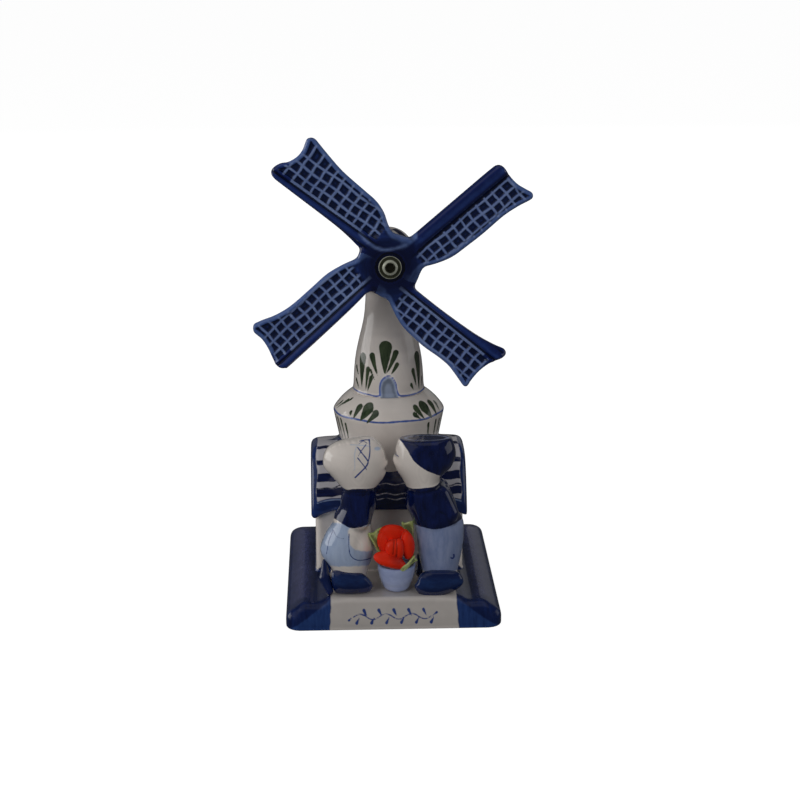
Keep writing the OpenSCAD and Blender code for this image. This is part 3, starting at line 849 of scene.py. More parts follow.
def lath_distance(u, v, sail):
    bend = 0.16 * np.sin(u * 0.45 + sail.angle) + 0.1 * np.sin(v * 1.1 + u * 0.2)
    cross = np.abs((u + bend - sail.first_lath + PITCH / 2) % PITCH - PITCH / 2)
    along = np.min([np.abs(v + bend - abs(sail.rail) - at) for at in LATHS_ALONG], 0)
    return np.minimum(cross, along) - LATH_HALF


def on_shaft(verts):
    """From shaft coordinates (right, up, forward) to the row frame, in mm."""
    return HUB + verts[:, :1] * ACROSS + verts[:, 1:2] * UPWARD + verts[:, 2:] * SHAFT


def shaft_radius(p):
    q = p - HUB
    return np.hypot(q @ ACROSS, q @ UPWARD)


def build_sails():
    clay = Clay((-47, -42, -3.1), (47, 40, 3.1), 0.26)
    a2, b2 = np.broadcast_arrays(clay.x[:, :, 0], clay.y[:, :, 0])
    w = clay.z
    away = np.hypot(a2, b2)
    out = smooth_step((away - 5.5) / 9)
    f = None
    for sail in SAILS:
        u, v = sail_frame(a2, b2, sail)
        edge = outline_distance(u, v, curve(sail.outline, 5, True))
        rail, start = sail.rail > 0, sail_start(sail)
        middle, half = (start / 2 - 0.7, start / 2 + 0.25) if rail else (2.1, 2.6)
        bar = 2.5 * np.sqrt(np.clip(1 - ((v - middle) / half) ** 2, 0, 1))
        panel = 1.2 + 0.35 * np.clip((edge + RIM_W + 0.3) / 0.7, 0, 1)
        if rail:
            panel = panel + 0.65 * np.exp(-(((v - start) / 0.5) ** 2))
        else:
            panel = panel - 0.55 * np.exp(-(((v - start) / 0.6) ** 2))
        front = smooth_max(bar, panel, 0.6)
        front = front * out + (2.25 - 0.12 * np.clip(away - 3.5, 0, 4)) * (1 - out)
        inside = np.clip((v - start - 0.4) / 0.4, 0, 1) * np.clip((u - 7.5) / 1.5, 0, 1)
        inside = inside * np.clip((-edge - RIM_W) / 0.3, 0, 1)
        front = front - 0.5 * inside * np.clip(lath_distance(u, v, sail) / 0.35, 0, 1)
        spar_back = SAIL_BACK * np.sqrt(np.clip(1 - ((v - 2.6) / 3.2) ** 2, 0, 1))
        back = smooth_max(spar_back, 1.1 + 0.04 * (v - 6), 0.9)
        back = back * out + SAIL_BACK * (1 - out)
        body = smooth_max(w - front[:, :, None], -w - back[:, :, None], 0.9)
        body = smooth_max(body, edge[:, :, None], 1.6)
        f = body if f is None else smooth_min(f, body, 2.6)
    reach = np.hypot(clay.x, clay.y)
    hub = smooth_max(reach - 8.9, w - 2.25 + 0.24 * np.clip(reach - 4.2, 0, 9), 1.0)
    hub = smooth_max(hub, -w - SAIL_BACK, 1.0)
    f = smooth_min(f, hub, 2.2)
    f = smooth_max(f, w - 2.45, 0.3)
    right, left = clay.x + HUB[0] - sail_high[0] + 0.1, sail_low[0] + 0.1 - clay.x - HUB[0]
    height = HUB[2] + clay.y * UPWARD[2] + w * SHAFT[2]
    above, below = height - sail_high[2] + 0.1, sail_low[2] + 0.1 - height
    f = smooth_max(f, np.maximum(np.maximum(right, left), np.maximum(above, below)), 0.8)
    f = np.maximum(np.where(reach < 4.4, np.maximum(f, w - 2.28), f), -SAIL_BACK - w)
    f = np.maximum(f, SAIL_BORE_R - reach)
    local, faces = clay.mesh(f, smoothing=1)

    def paint(p):
        q = p - HUB
        a, b, w = q @ ACROSS, q @ UPWARD, q @ SHAFT
        best = np.full(len(p), 1e9)
        lath, rim, shade, spar_highlight, inner = (best.copy() for _ in range(5))
        brush = np.zeros((len(p), 3))
        for k, sail in enumerate(SAILS):
            u, v = sail_frame(a, b, sail)
            edge = outline_distance(u, v, curve(sail.outline, 5, True))
            mine = edge < best
            best = np.where(mine, edge, best)
            start = sail_start(sail)
            laths = np.maximum(lath_distance(u, v, sail), np.maximum(7.8 - u, start + 0.2 - v))
            laths = np.maximum(laths, edge + RIM_W * 0.6)
            if sail.rail > 0:
                ends = np.maximum(sail.rail_from - u, u - 38)
                laths = np.minimum(laths, np.maximum(np.abs(v - start) - RAIL_HALF, ends))
            lath = np.where(mine, np.where(w > 0, laths, 9), lath)
            border = np.maximum(-RIM_W - edge, 6.2 - v)
            ribs = np.maximum(np.abs(v - 7.5) - 0.35, 12 - u)
            rim = np.where(mine, np.where(w > 0, border, np.minimum(border, ribs)), rim)
            # painted shade: a dark band in the groove beside each spar
            groove_shade = np.abs(v - start + 0.8) - 0.2 if sail.rail > 0 else np.abs(v - 4.4) - 0.7
            shade = np.where(mine, groove_shade, shade)
            # painted highlight along the ridge of each spar
            spar = start - 1.9 if sail.rail > 0 else 2.6
            spar_highlight = np.where(mine, np.maximum(np.abs(v - spar) - 0.35, 10 - u), spar_highlight)
            inner = np.where(mine, start + 0.3 - v, inner)
            brush = np.where(mine[:, None], np.stack([u, v + 20 * k, w], 1), brush)
        # painted highlight: the pale rim colour carried over the hub's upper edge, where it catches the light
        top = np.maximum(np.maximum(-1.5 - best, np.abs(a - 2.5) - 5.5), 5 - b)
        rim = np.minimum(rim, np.where(w > 0, top, 9))
        # painted highlight: a pale arc above the screw along the hub's raised upper edge
        arc = [(-8.6, 9.9), (-6.4, 7.4), (-4.25, 5.9), (-1.65, 5.15), (1.95, 5.55), (4.75, 6.55)]
        away = np.hypot(a, b)
        far = np.clip(away / 12, 0, 1)[:, None]
        return {"lath": lath, "rim": rim, "ridge": spar_highlight, "shade": np.maximum(shade, 9 - away),
                "deep": away - 8, "hub_highlight": np.where(w > 0, stroke(a, b, arc, 0.9, 0.5), 9),
                "panel": np.where(w > 0, inner, 9), "brush": brush * far + (1 - far) * q * 0.4}

    material = glaze(
        "sail_glaze", (0.004, 0.011, 0.075),
        [("panel", (0.016, 0.042, 0.19), (0.003, 0.008, 0.055), 0.4, 0.5, 0.35),
         # ridge: a painted highlight along each spar
         ("ridge", (0.024, 0.055, 0.21), (0.008, 0.022, 0.11), 1.1, 1.2, 0.35),
         ("rim", (0.085, 0.14, 0.32), (0.03, 0.06, 0.19), 0.45, 0.8, 0.35),
         ("lath", (0.19, 0.25, 0.43), (0.06, 0.10, 0.24), 0.22, 0.4, 0.35),
         ("shade", *NAVY, 0.4, 0.5, 0.5),
         ("deep", (0.003, 0.006, 0.04), (0.0015, 0.003, 0.022), 4.0, 1.0, 0.5),
         # sweep: a painted highlight along the hub's upper edge
         ("hub_highlight", (0.16, 0.22, 0.42), (0.05, 0.09, 0.24), 0.6, 0.6, 0.35)],
        grain=(0.10, 0.9, 0.9), brush="brush", hollow_shade_edge_highlight=0.9)
    make("sails_glazed", on_shaft(local), faces, material, ["sail_cross"], body="sails", paint=paint)


# Thin and thick colours of the painted shade in the screw's recess, and of the painted highlight on the steel
# rings.
RECESS_SHADE = ((0.05, 0.05, 0.03), (0.02, 0.018, 0.012))
STEEL_HIGHLIGHT = ((0.88, 0.90, 0.76), (0.62, 0.64, 0.50))
WASHER_FOOT = 2.62  # in front of the sails' middle
SEAT = WASHER_FOOT + 0.55  # where the head sits in the cupped washer


def build_washer():
    low = WASHER_FOOT
    ring = [(1.7, low), (3.1, low), (3.35, low + 0.15), (3.4, low + 0.5), (3.34, low + 0.84),
            (3.2, low + 0.88), (3.06, low + 0.7), (2.9, low + 0.5), (2.3, low + 0.5), (1.7, low + 0.55)]
    verts, faces = turned_ring(ring, (0, 0), 96, parts=3)
    # The washer's dark olive face is a painted reflection of dark surroundings; the bright ring at its rim is
    # a painted highlight.
    plate = glaze("washer_steel", (0.09, 0.095, 0.06), [("ring", *STEEL_HIGHLIGHT, 0.08, 0.12, 0.4)],
                  grain=(3, 3, 0.4), rough=0.34, hollow_shade_edge_highlight=0, metal=0.5, coat=0.0)
    make("washer_metal", on_shaft(verts * [1, -1, 1]), [f[::-1] for f in faces], plate, ["front_washer"],
         paint=lambda p: {"ring": np.abs(shaft_radius(p) - 3.27) - 0.1})


def build_screw():
    """The head is a dome with a six-lobed recess, joined to a plain shank that ends in the cap's plug."""
    head_r, head_h, recess_r, recess_floor, shank_r, shank_end = 2.28, 1.62, 1.3, 0.35, 1.48, -10.7
    clay = Clay((-2.6, -2.6, SEAT - 0.4), (2.6, 2.6, SEAT + 2.0), 0.07)
    away, turn = np.hypot(clay.x, clay.y), np.arctan2(clay.y, clay.x)
    dome = smooth_max(away - head_r, clay.z - SEAT - head_h + 0.12 * away**2, 0.35)
    head = np.maximum(dome, SEAT - clay.z)
    recess = away - (recess_r + 0.2 * np.cos(6 * turn + 0.5))
    head = smooth_max(head, -np.maximum(recess, SEAT + recess_floor - clay.z), 0.12)
    verts, faces = clay.mesh(head)
    shank = [(0.02, shank_end), (1.3, shank_end), (shank_r, shank_end + 0.2), (shank_r, -4), (shank_r, 1),
             (shank_r, SEAT + 0.1), (0.02, SEAT + 0.1)]
    shank_verts, shank_faces = turned(shank, (0, 0), 48, parts=2)
    joined = np.concatenate([verts, shank_verts * [1, -1, 1]])
    extra = [[i + len(verts) for i in f[::-1]] for f in shank_faces]
    # Painted highlight: a bright ring round the head. Painted shade: the dark recess.
    steel = glaze("screw_steel", (0.45, 0.46, 0.36),
                  [("ring", *STEEL_HIGHLIGHT, 0.12, 0.25, 0.4), ("hollow", *RECESS_SHADE, 0.1, 0.15, 0.5)],
                  grain=(3, 3, 0.4), rough=0.3, hollow_shade_edge_highlight=0, metal=0.45, coat=0.0)
    make("screw_metal", on_shaft(joined), faces.tolist() + extra, steel, ["pivot_screw"],
         paint=lambda p: {"ring": np.abs(shaft_radius(p) - 1.95) - 0.3,
                          "hollow": np.maximum(shaft_radius(p) - 1.5, SEAT - (p - HUB) @ SHAFT)})


# ---------------------------------------------------------------- the couple

# Outlines of the couple from in front: x and height in mm.
GIRL = [(-7.1, 55.4), (-5.2, 54.9), (-3.7, 53.6), (-2.6, 51.9), (-2.1, 50.5), (-1.8, 49.1), (-1.3, 48.0),
        (-1.3, 47.1), (-1.9, 46.4), (-1.7, 45.3), (-1.9, 44.3), (-2.5, 43.1), (-3.7, 41.6), (-4.6, 40.3),
        (-4.7, 38.5), (-4.6, 36.6), (-4.8, 34.2), (-5.6, 31.7), (-6.1, 29.9), (-6.2, 28.2), (-5.9, 25.3),
        (-5.5, 21.4), (-6.2, 17.5), (-7.1, 15.4), (-7.6, 12.5), (-7.4, 9.5), (-8.4, 8.0), (-17.6, 8.0),
        (-18.2, 10), (-18.3, 14), (-19, 15.8), (-20.0, 17.2), (-21.1, 18.7), (-21.6, 20.7), (-21.2, 22.6),
        (-19.8, 25.8), (-17.8, 28.9), (-17.4, 30.5), (-17, 31.9), (-15.7, 34.3), (-15.2, 36.8),
        (-14.5, 39.2), (-15.1, 40.1), (-16.1, 41.7), (-17.2, 43.1), (-18.3, 44.3), (-19.5, 45.6),
        (-20.3, 47), (-20.4, 48.6), (-20.1, 50.4), (-19, 52.2), (-17, 53.6), (-14.4, 54.5), (-11.7, 55),
        (-9.4, 55.3)]
BOY = [(2.8, 55.2), (1.7, 53.5), (1.1, 51.7), (1.1, 50.5), (0.4, 49.3), (0.2, 48.1), (0.7, 46.7), (1.5, 45),
       (2.8, 43), (3.6, 41.3), (4.1, 39.8), (4.0, 38), (3.9, 36.5), (4.1, 34), (5.2, 31.5), (6.2, 29),
       (6.8, 26.5), (7.2, 23.1), (7.6, 19.7), (8.5, 15.3), (9.0, 12), (9.2, 9.5), (10, 8), (18.8, 8),
       (19.4, 9.5), (19.6, 13.8), (20.5, 18.5), (21.2, 22.9), (21.4, 26.8), (21.1, 29.3), (20.1, 31.2),
       (19.4, 33), (18.9, 35), (17.5, 38.3), (15.6, 41.2), (14.3, 43.0), (15.5, 44.4), (17.4, 46),
       (18.6, 48.8), (18.6, 51.2), (17.5, 54), (15.5, 55.6), (12.8, 56.1), (9.7, 56.2), (6.7, 56.2),
       (4.2, 55.9)]


def seen_flat(p):
    """x, and the height as seen from in front, of points on the couple. The back repeats the front."""
    return p[:, 0], p[:, 2] - VIEW_SLOPE * np.abs(p[:, 1] - COUPLE_Y)


def girl_paint(p):
    x, z = seen_flat(p)
    bodice = zone(x, z, [(-16, 39.6), (-13.5, 39.4), (-11, 39.8), (-7.5, 39.7), (-4, 40.1), (-2, 39.6),
                         (-3, 28.6), (-6.2, 28.5), (-8, 28.5), (-9.8, 27.8), (-12, 27.6), (-13.4, 28),
                         (-15.2, 29.1), (-17.4, 30.4), (-20, 31.4)])
    skirt = np.maximum(z - 29, 15.6 - z)
    apron = zone(x, z, [(-13, 27.6), (-8, 28), (-4, 28), (-4, 20.6), (-9.0, 20.4), (-12.0, 21.4),
                        (-12.9, 24)])
    lines = [([(-13.0, 25.8), (-13.1, 22), (-12.6, 19.1), (-10.8, 17.6), (-8.1, 17.5), (-5.2, 18.1)],
              0.3, 0.3),
             ([(-17.6, 26.9), (-18.8, 24), (-19.5, 20.7), (-19.7, 19.4)], 0.25, 0.2),
             ([(-17.6, 26.9), (-16.6, 24.9), (-14.4, 24.3)], 0.15, 0.15),
             ([(-10.2, 52.4), (-8.9, 50.6), (-7.6, 48.8), (-7.2, 47.8), (-7.8, 46.6), (-9.3, 45),
               (-11, 43.3)], 0.35, 0.5),
             ([(-6.7, 54.7), (-6.6, 51.4), (-6.9, 49), (-7.4, 47.4)], 0.4, 0.35),
             ([(-7.7, 53.2), (-9.2, 51.2), (-10, 49.8)], 0.3, 0.2),
             ([(-10.2, 49.2), (-8.7, 47.2), (-7.6, 45.6)], 0.35, 0.2),
             ([(-9.6, 54.2), (-7.9, 54.6), (-6.6, 54.5)], 0.3, 0.3),
             ([(-8.8, 54.6), (-7.4, 53.6)], 0.25, 0.25, False),
             ([(-8.1, 54.6), (-9.8, 53.4)], 0.25, 0.2, False)]
    faint = strokes(x, z, [([(-10.5, 52.6), (-11.1, 50.2), (-11.1, 46.3), (-11.4, 45.5)], 0.25, 0.15),
                           ([(-12.2, 53.2), (-9, 53.0), (-6.5, 52.6)], 0.2, 0.2)])
    blush = np.hypot((x + 4.4) / 1.8, (z - 51.9)) - 0.5
    return {"bodice": bodice, "skirt": np.maximum(skirt, -apron), "line": strokes(x, z, lines),
            "faint": np.minimum(faint, blush)}


def boy_paint(p):
    x, z = seen_flat(p)
    cap = zone(x, z, [(2.0, 54.9), (3.8, 52.3), (5.1, 49.9), (6.3, 47.9), (8, 46.3), (9.9, 45), (12.2, 44),
                      (14.8, 43.2), (22, 43), (23, 50), (22, 60), (10, 62), (2, 60), (1.2, 56.4)])
    jacket = zone(x, z, [(2, 39.6), (6, 39.5), (9.8, 39.8), (12.4, 40.2), (13.8, 41.4), (14.2, 43.3),
                         (19, 43.1), (24, 36), (24, 31), (21, 29.8), (18.7, 28.6), (15.5, 27.4),
                         (12.4, 26.9), (9.6, 27.3), (6.5, 28.2), (3, 29)])
    cloth = np.maximum(z - 29.5, 13.4 - z)
    # painted highlight: a pale line round the rim of the cap's flat top
    rim = np.abs(np.hypot((x - 10.2) / 6.2, (p[:, 1] - COUPLE_Y) / 2.6) - 1) * 2.6 - 0.2
    lines = [([(0.8, 50.2), (1.9, 49.3)], 0.4, 0.2, False),
             ([(18, 18.7), (18.05, 18.0), (17.6, 17.5), (17.1, 17.8)], 0.6, 0.4)]
    return {"bodice": np.minimum(cap, jacket), "skirt": cloth, "line": strokes(x, z, lines),
            "faint": np.where(p[:, 2] > 54.2, rim, 9.0)}


def figure(outline, paint, who, middle, shape, cuts, material):
    """One figure as a single lump of clay, cut into its pieces at its moulded and painted borders."""
    line = curve(outline, 4, True)
    low, high = line.min(0) - 1.2, line.max(0) + 1.2
    clay = Clay((low[0], middle - 9, PLINTH_TOP - 0.6), (high[0], middle + 9, high[1]), 0.27)
    f = shape(clay, clay.pillow(line, middle, 0.8))
    f = np.maximum(f, PLINTH_TOP - 0.2 - clay.z)
    mesh = plain_mesh(who, *clay.mesh(f, smoothing=3))
    for name, planes in cuts:
        dress(name.replace(who, who + "_glazed"), sliced(mesh, planes), material, [name], paint=paint)


def girl_shape(clay, f):
    arm = clay.rod((-9.2, COUPLE_Y - 4.4, 37.2), (-9.4, COUPLE_Y - 5.6, 31.6), 2.3, 2.5)
    arm = np.minimum(arm, clay.rod((-9.2, COUPLE_Y + 4.4, 37.2), (-9.4, COUPLE_Y + 5.6, 31.6), 2.3, 2.5))
    f = smooth_min(f, np.maximum(arm, clay.z - 39.6), 1.3)
    crease = np.abs(clay.z - 40.2) - 0.25
    f = f + 0.25 * np.exp(-(crease / 0.7) ** 2)
    bib = clay.ball((-9.6, COUPLE_Y, 23.5), (3.6, 7.0, 6.2))
    return smooth_min(f, bib, 0.8)


def boy_shape(clay, f):
    arm = clay.rod((14.2, COUPLE_Y - 3.8, 38.4), (16.6, COUPLE_Y - 5.0, 33.0), 2.7, 2.8)
    low = clay.rod((16.6, COUPLE_Y - 5.0, 33.0), (12.2, COUPLE_Y - 5.6, 31.0), 2.7, 2.2)
    back = clay.rod((14.2, COUPLE_Y + 3.8, 38.4), (16.6, COUPLE_Y + 5.0, 32.6), 2.7, 2.8)
    f = smooth_min(f, np.minimum(np.minimum(arm, low), back), 1.2)
    puck = (np.hypot((clay.x - 10.2) / 6.8, (clay.y - COUPLE_Y) / 2.9) - 1) * 2.9
    puck = smooth_max(puck, np.maximum(clay.z - 54.9, 50 - clay.z), 0.6)
    f = smooth_max(smooth_min(f, puck, 1.6), clay.z - 54.9, 0.4)
    crease = clay.z - 40.0 + 0.25 * (8 - clay.x).clip(-6, 0)
    return f + 0.25 * np.exp(-((crease / 0.7) ** 2))


def build_couple():
    material = glaze(
        "girl_glaze", WHITE,
        [("skirt", *WASH, 0.3, 0.9, 0.55), ("faint", (0.50, 0.58, 0.72), (0.42, 0.50, 0.66), 0.2, 0.2, 0.3),
         ("line", *LINE, 0.1, 0.2, 0.4), ("bodice", *NAVY, 0.14, 0.3, 0.55)], grain=(0.8, 0.5, 0.2))
    up, down = (0, 0, 1), (0, 0, -1)
    collar, waist = 40.0, 29.4  # heights of the cuts between head, upper garment and lower garment
    figure(GIRL, girl_paint, "girl", COUPLE_Y, girl_shape, [
        ("girl_head", [((0, 0, collar), down)]),
        ("girl_bodice", [((0, 0, collar), up), ((0, 0, waist), down)]),
        ("girl_skirt", [((0, 0, waist), up)])], material)
    cap_cut = ((3.0, 0, 54.9), (-0.72, 0, -0.69))
    # On the boy, the faint layer is a painted highlight round the rim of the cap's top.
    material = glaze(
        "boy_glaze", WHITE,
        [("skirt", (0.32, 0.38, 0.58), (0.20, 0.26, 0.46), 0.3, 0.9, 0.6),
         ("line", *LINE, 0.1, 0.2, 0.4), ("bodice", *NAVY, 0.14, 0.3, 0.55),
         ("faint", (0.42, 0.46, 0.60), (0.16, 0.19, 0.34), 0.12, 0.3, 0.3)], grain=(0.7, 0.5, 0.18))
    figure(BOY, boy_paint, "boy", COUPLE_Y, boy_shape, [
        ("boy_cap", [cap_cut, ((0, 0, 43.4), down)]),
        ("boy_head", [(cap_cut[0], (0.72, 0, 0.69)), ((0, 0, collar), down)]),
        ("boy_jacket", [((0, 0, collar), up), ((0, 0, waist), down)]),
        ("boy_trousers", [((0, 0, waist), up)])], material)


def build_clogs():
    material = glaze(
        "clog_glaze", (0.0035, 0.011, 0.060), [("sole", *NAVY, 0.5, 0.8, 0.5),
                                               ("shine", (0.011, 0.034, 0.125), (0.004, 0.012, 0.065), 0.9,
                                                1.2, 0.45)],
        grain=(0.35, 0.9, 0.9))
    shapes = {
        "girl_front_clog": ([(-18.2, 15.2), (-18.4, 13), (-18.1, 10.6), (-17.3, 8.9), (-15, 8.4),
                             (-10.9, 8.4), (-7.5, 8.8), (-6.2, 10.2), (-6.4, 11.8), (-8.1, 13.9),
                             (-10.8, 15.3), (-14.5, 15.9), (-17.2, 15.8)], COUPLE_Y - 5.4, 0.62),
        "boy_front_clog": ([(9.4, 15.4), (7.7, 14), (7.0, 12.2), (6.3, 11.0), (6.9, 9.3), (8.4, 7.9),
                            (11.6, 7.3), (14.8, 7.7), (17.5, 9), (19.8, 10.4), (20.9, 12), (20.5, 13.6),
                            (19, 15.2), (14, 15.8)],
                            COUPLE_Y - 6.6, 0.55)}
    for name, (outline, y_mid, fullness) in shapes.items():
        line = curve(outline, 4, True)
        low, high = line.min(0) - 1, line.max(0) + 1
        clay = Clay((low[0], y_mid - 6, low[1]), (high[0], y_mid + 6, high[1]), 0.26)
        f = clay.pillow(line, y_mid, fullness)
        verts, faces = clay.mesh(f, smoothing=2)
        bottom = line.min(0)[1]

        def paint(p, bottom=bottom, y_mid=y_mid):
            lift = p[:, 2] - bottom - 1.9 - 0.10 * np.abs(p[:, 0] - p[:, 0].mean())
            return {"sole": lift, "shine": np.hypot(p[:, 2] - bottom - 5.2, (p[:, 1] - y_mid + 3) * 0.6)
                    - 1.6}

        make(name + "_glazed", verts, faces, material, [name], paint=paint)
    rears = {
        "girl_rear_clog": [((-20.4, -1.9, 17.4), (-20.3, -3.8, 12.8), 0.7, 1.7), ((-20.3, -3.8, 12.8),
            (-18.9, -6.6, 9.6), 1.7, 1.1)],
        "boy_rear_clog": [((8.4, 2.8, 16.8), (8.9, 2.4, 12), 1.0, 1.7), ((8.9, 2.4, 12), (12.5, 3.2, 10.6),
            1.9, 2.2)]}
    for name, rods in rears.items():
        rods = [((a[0], a[1] + COUPLE_Y, a[2]), (b[0], b[1] + COUPLE_Y, b[2]), ra, rb) for a, b, ra,
                rb in rods]
        ends = np.array([e for r in rods for e in r[:2]])
        clay = Clay(ends.min(0) - 3, ends.max(0) + 3, 0.25)
        f = None
        for a, b, ra, rb in rods:
            rod = clay.rod(a, b, ra, rb)
            f = rod if f is None else smooth_min(f, rod, 0.8)
        f = np.maximum(f, PLINTH_TOP - 1.4 - clay.z)
        verts, faces = clay.mesh(f)
        make(name + "_glazed", verts, faces, material, [name],
             paint=lambda p: {"sole": p[:, 2] - 10.2, "shine": np.full(len(p), 9.0)})


# ---------------------------------------------------------------- pot and flower

POT_X, POT_Y = (pot_low[:2] + pot_high[:2]) / 2
POT_RIM = pot_high[2]
AT_POT = np.array([POT_X, POT_Y, 0])


def build_pot():
    foot = PLINTH_TOP
    profile = [(0.4, foot + 0.05), (2.2, foot + 0.05), (2.9, foot + 0.15), (3.8, foot + 0.9), (4.6, 11.2),
               (5.15, 12.8), (5.5, 14.6), (5.68, 16.2), (5.6, POT_RIM - 0.1), (5.3, POT_RIM),
               (5.0, POT_RIM - 0.15), (4.8, POT_RIM - 0.8), (4.2, 15.9), (2.4, 15.7), (0.4, 15.6)]
    verts, faces = turned(profile, (POT_X, POT_Y), 120)

    def paint(p):
        return {"wash": np.full(len(p), -2.0), "line": np.abs(p[:, 2] - POT_RIM + 0.1) - 0.18}

    make("pot_glazed", verts, faces, glaze(
        "pot_glaze", WHITE,
        [("wash", (0.40, 0.46, 0.66), (0.28, 0.34, 0.56), 0.3, 0.5, 0.6),
         ("line", (0.24, 0.30, 0.52), (0.2, 0.26, 0.46), 0.2, 0.3, 0.4)],
        grain=(0.3, 0.3, 0.6)), ["flower_pot"], paint=paint)


def petal_heart_shade(p):
    # painted shade: the petals darken towards the flower's heart
    heart = AT_POT + [0, -1.5, 19.6]
    return {"deep": np.linalg.norm((p - heart) * [1, 0.7, 1], axis=1) - 3.4}


def petal(name, material, lumps):
    """A thick petal of lumps of clay: each is (centre from the pot's axis, radii, tilts, fold)."""
    centres = np.array([row[0] for row in lumps], float) + AT_POT
    clay = Clay(centres.min(0) - 5.6, centres.max(0) + 5.6, 0.18)
    f = None
    for centre, (_, radii, tilt, fold) in zip(centres, lumps):
        turn = [Matrix.Rotation(math.radians(t), 3, axis) for t, axis in zip(tilt, "XYZ")]
        m = np.array((turn[2] @ turn[1] @ turn[0]).transposed())
        x, y, z = clay.x - centre[0], clay.y - centre[1], clay.z - centre[2]
        q = [m[i, 0] * x + m[i, 1] * y + m[i, 2] * z for i in range(3)]
        bend = fold * (q[0] / radii[0]) ** 2 + 0.06 * np.sin(q[0] * 1.1 + q[2] * 0.7)
        s = (q[0] / radii[0]) ** 2 + ((q[1] - bend) / radii[1]) ** 2 + (q[2] / radii[2]) ** 2
        lump = (np.sqrt(s) - 1) * radii[1]
        f = lump if f is None else smooth_min(f, lump, 0.5)
    verts, faces = clay.mesh(np.clip(f, -2, 2), smoothing=3)
    make(name + "_glazed", verts, faces, material, [name], paint=petal_heart_shade).visible_glossy = False


def build_bud(material):
    x, y = POT_X, POT_Y
    clay = Clay((x - 4.5, y - 8, 15.2), (x + 4.5, y + 4, 27.6), 0.17)
    left = clay.ball((x - 1.2, y - 3.7, 22.9), (2.2, 2.1, 3.1))
    right = clay.ball((x + 0.7, y - 3.9, 22.7), (1.4, 1.9, 3.4))
    core = np.maximum(np.minimum(left, right), clay.z - 0.4 * (clay.x - x) - 26.2)
    crease = np.exp(-(((clay.x - x + 1.0 - 0.1 * (clay.z - 24)) / 0.3) ** 2))
    core = core + 0.22 * crease * np.clip(clay.z - 21, 0, 1)
    stem = clay.rod((x, y, 15.7), (x, y - 2.4, 20), 1.25, 1.8)
    curl = clay.ball((x + 2.1, y - 0.6, 27.4), (0.8, 0.9, 1.0))
    curl = smooth_min(curl, clay.ball((x + 1.8, y - 0.9, 26.2), (0.8, 1, 1)), 0.4)
    verts, faces = clay.mesh(np.minimum(smooth_min(core, stem, 0.8), curl), smoothing=2)

    def paint(p):
        # painted shade: the bud darkens towards a point low in its middle
        return {"deep": np.linalg.norm(p - [x + 0.4, y - 2.5, 20.0], axis=1) - 2.6}

    make("bud_glazed", verts, faces, material, ["flower_bud"], paint=paint).visible_glossy = False


def build_flower():
    # The deep layer is painted shade, darker red towards the flower's heart.
    red = glaze("petal_glaze", (0.78, 0.026, 0.006),
                [("deep", (0.52, 0.012, 0.004), (0.34, 0.007, 0.003), 1.4, 0.8, 0.5)],
                grain=(0.5, 0.5, 0.5), rough=0.35, hollow_shade_edge_highlight=0.35, coat=0.15)
    petal("petal_back", red, [((-1.5, -0.6, 25.5), (4.4, 2.0, 4.1), (14, 0, 6), 1.0)])
    petal("petal_left", red, [((-3.9, -1.8, 24.1), (1.7, 1.9, 3.5), (-6, -8, 40), 0.3)])
    petal("petal_right", red, [((3.1, -2.6, 23.4), (2.1, 1.9, 4.4), (-4, -6, -22), 0.5),
                               ((2.4, -0.6, 25.8), (1.5, 1.5, 1.9), (0, 10, 0), 0.2)])
    petal("petal_front", red, [((-2.3, -5.1, 19.9), (4.8, 1.5, 2.5), (-46, 19, 6), 0.5),
                               ((-0.1, -4.9, 18.4), (2.8, 1.1, 1.4), (-40, 12, 0), 0.3)])
    build_bud(red)


def leaf(name, material, foot, left, right, thick):
    """A crinkled leaf: a rounded triangle from its foot to two top corners, all from the pot's axis."""
    a, b, c = (AT_POT + v for v in (foot, left, right))
    low, high = np.min([a, b, c], 0) - 1.2, np.max([a, b, c], 0) + 1.2
    clay = Clay(low, high, 0.16)
    normal = np.cross(b - a, c - a)
    normal /= np.linalg.norm(normal)
    up = (b + c) / 2 - a
    length = np.linalg.norm(up)
    up /= length
    wide = np.cross(normal, up)
    x, y, z = clay.x - a[0], clay.y - a[1], clay.z - a[2]
    u = x * up[0] + y * up[1] + z * up[2]
    v = x * wide[0] + y * wide[1] + z * wide[2]
    w = x * normal[0] + y * normal[1] + z * normal[2]
    half = abs((c - b) @ wide) / 2
    shape = [(-0.4, -0.7), (-0.4, 0.7), (length * 0.5, half * 0.85), (length * 0.85, half * 1.05),
             (length + 0.3, half * 1.1), (length * 1.02, half * 0.3), (length * 0.99, -half * 0.4),
             (length + 0.3, -half * 1.1), (length * 0.75, -half), (length * 0.45, -half * 0.8)]
    flat = outline_distance(u, v, curve(shape, 4, True))
    ruffle = 0.2 * np.sin(u * 1.1) + 0.15 * np.sin(v * 1.9 + u) + 0.12 * v * v / max(half, 1)
    verts, faces = clay.mesh(smooth_max(flat, np.abs(w + ruffle * 0.8) - thick, 0.3), smoothing=1)

    def paint(p):
        q = p - a
        side = np.abs(q @ wide)
        return {"vein": np.minimum(side - 0.1, np.abs((q @ up + side) % 1.1 - 0.55) - 0.12)}

    make(name + "_glazed", verts, faces, material, [name], paint=paint)


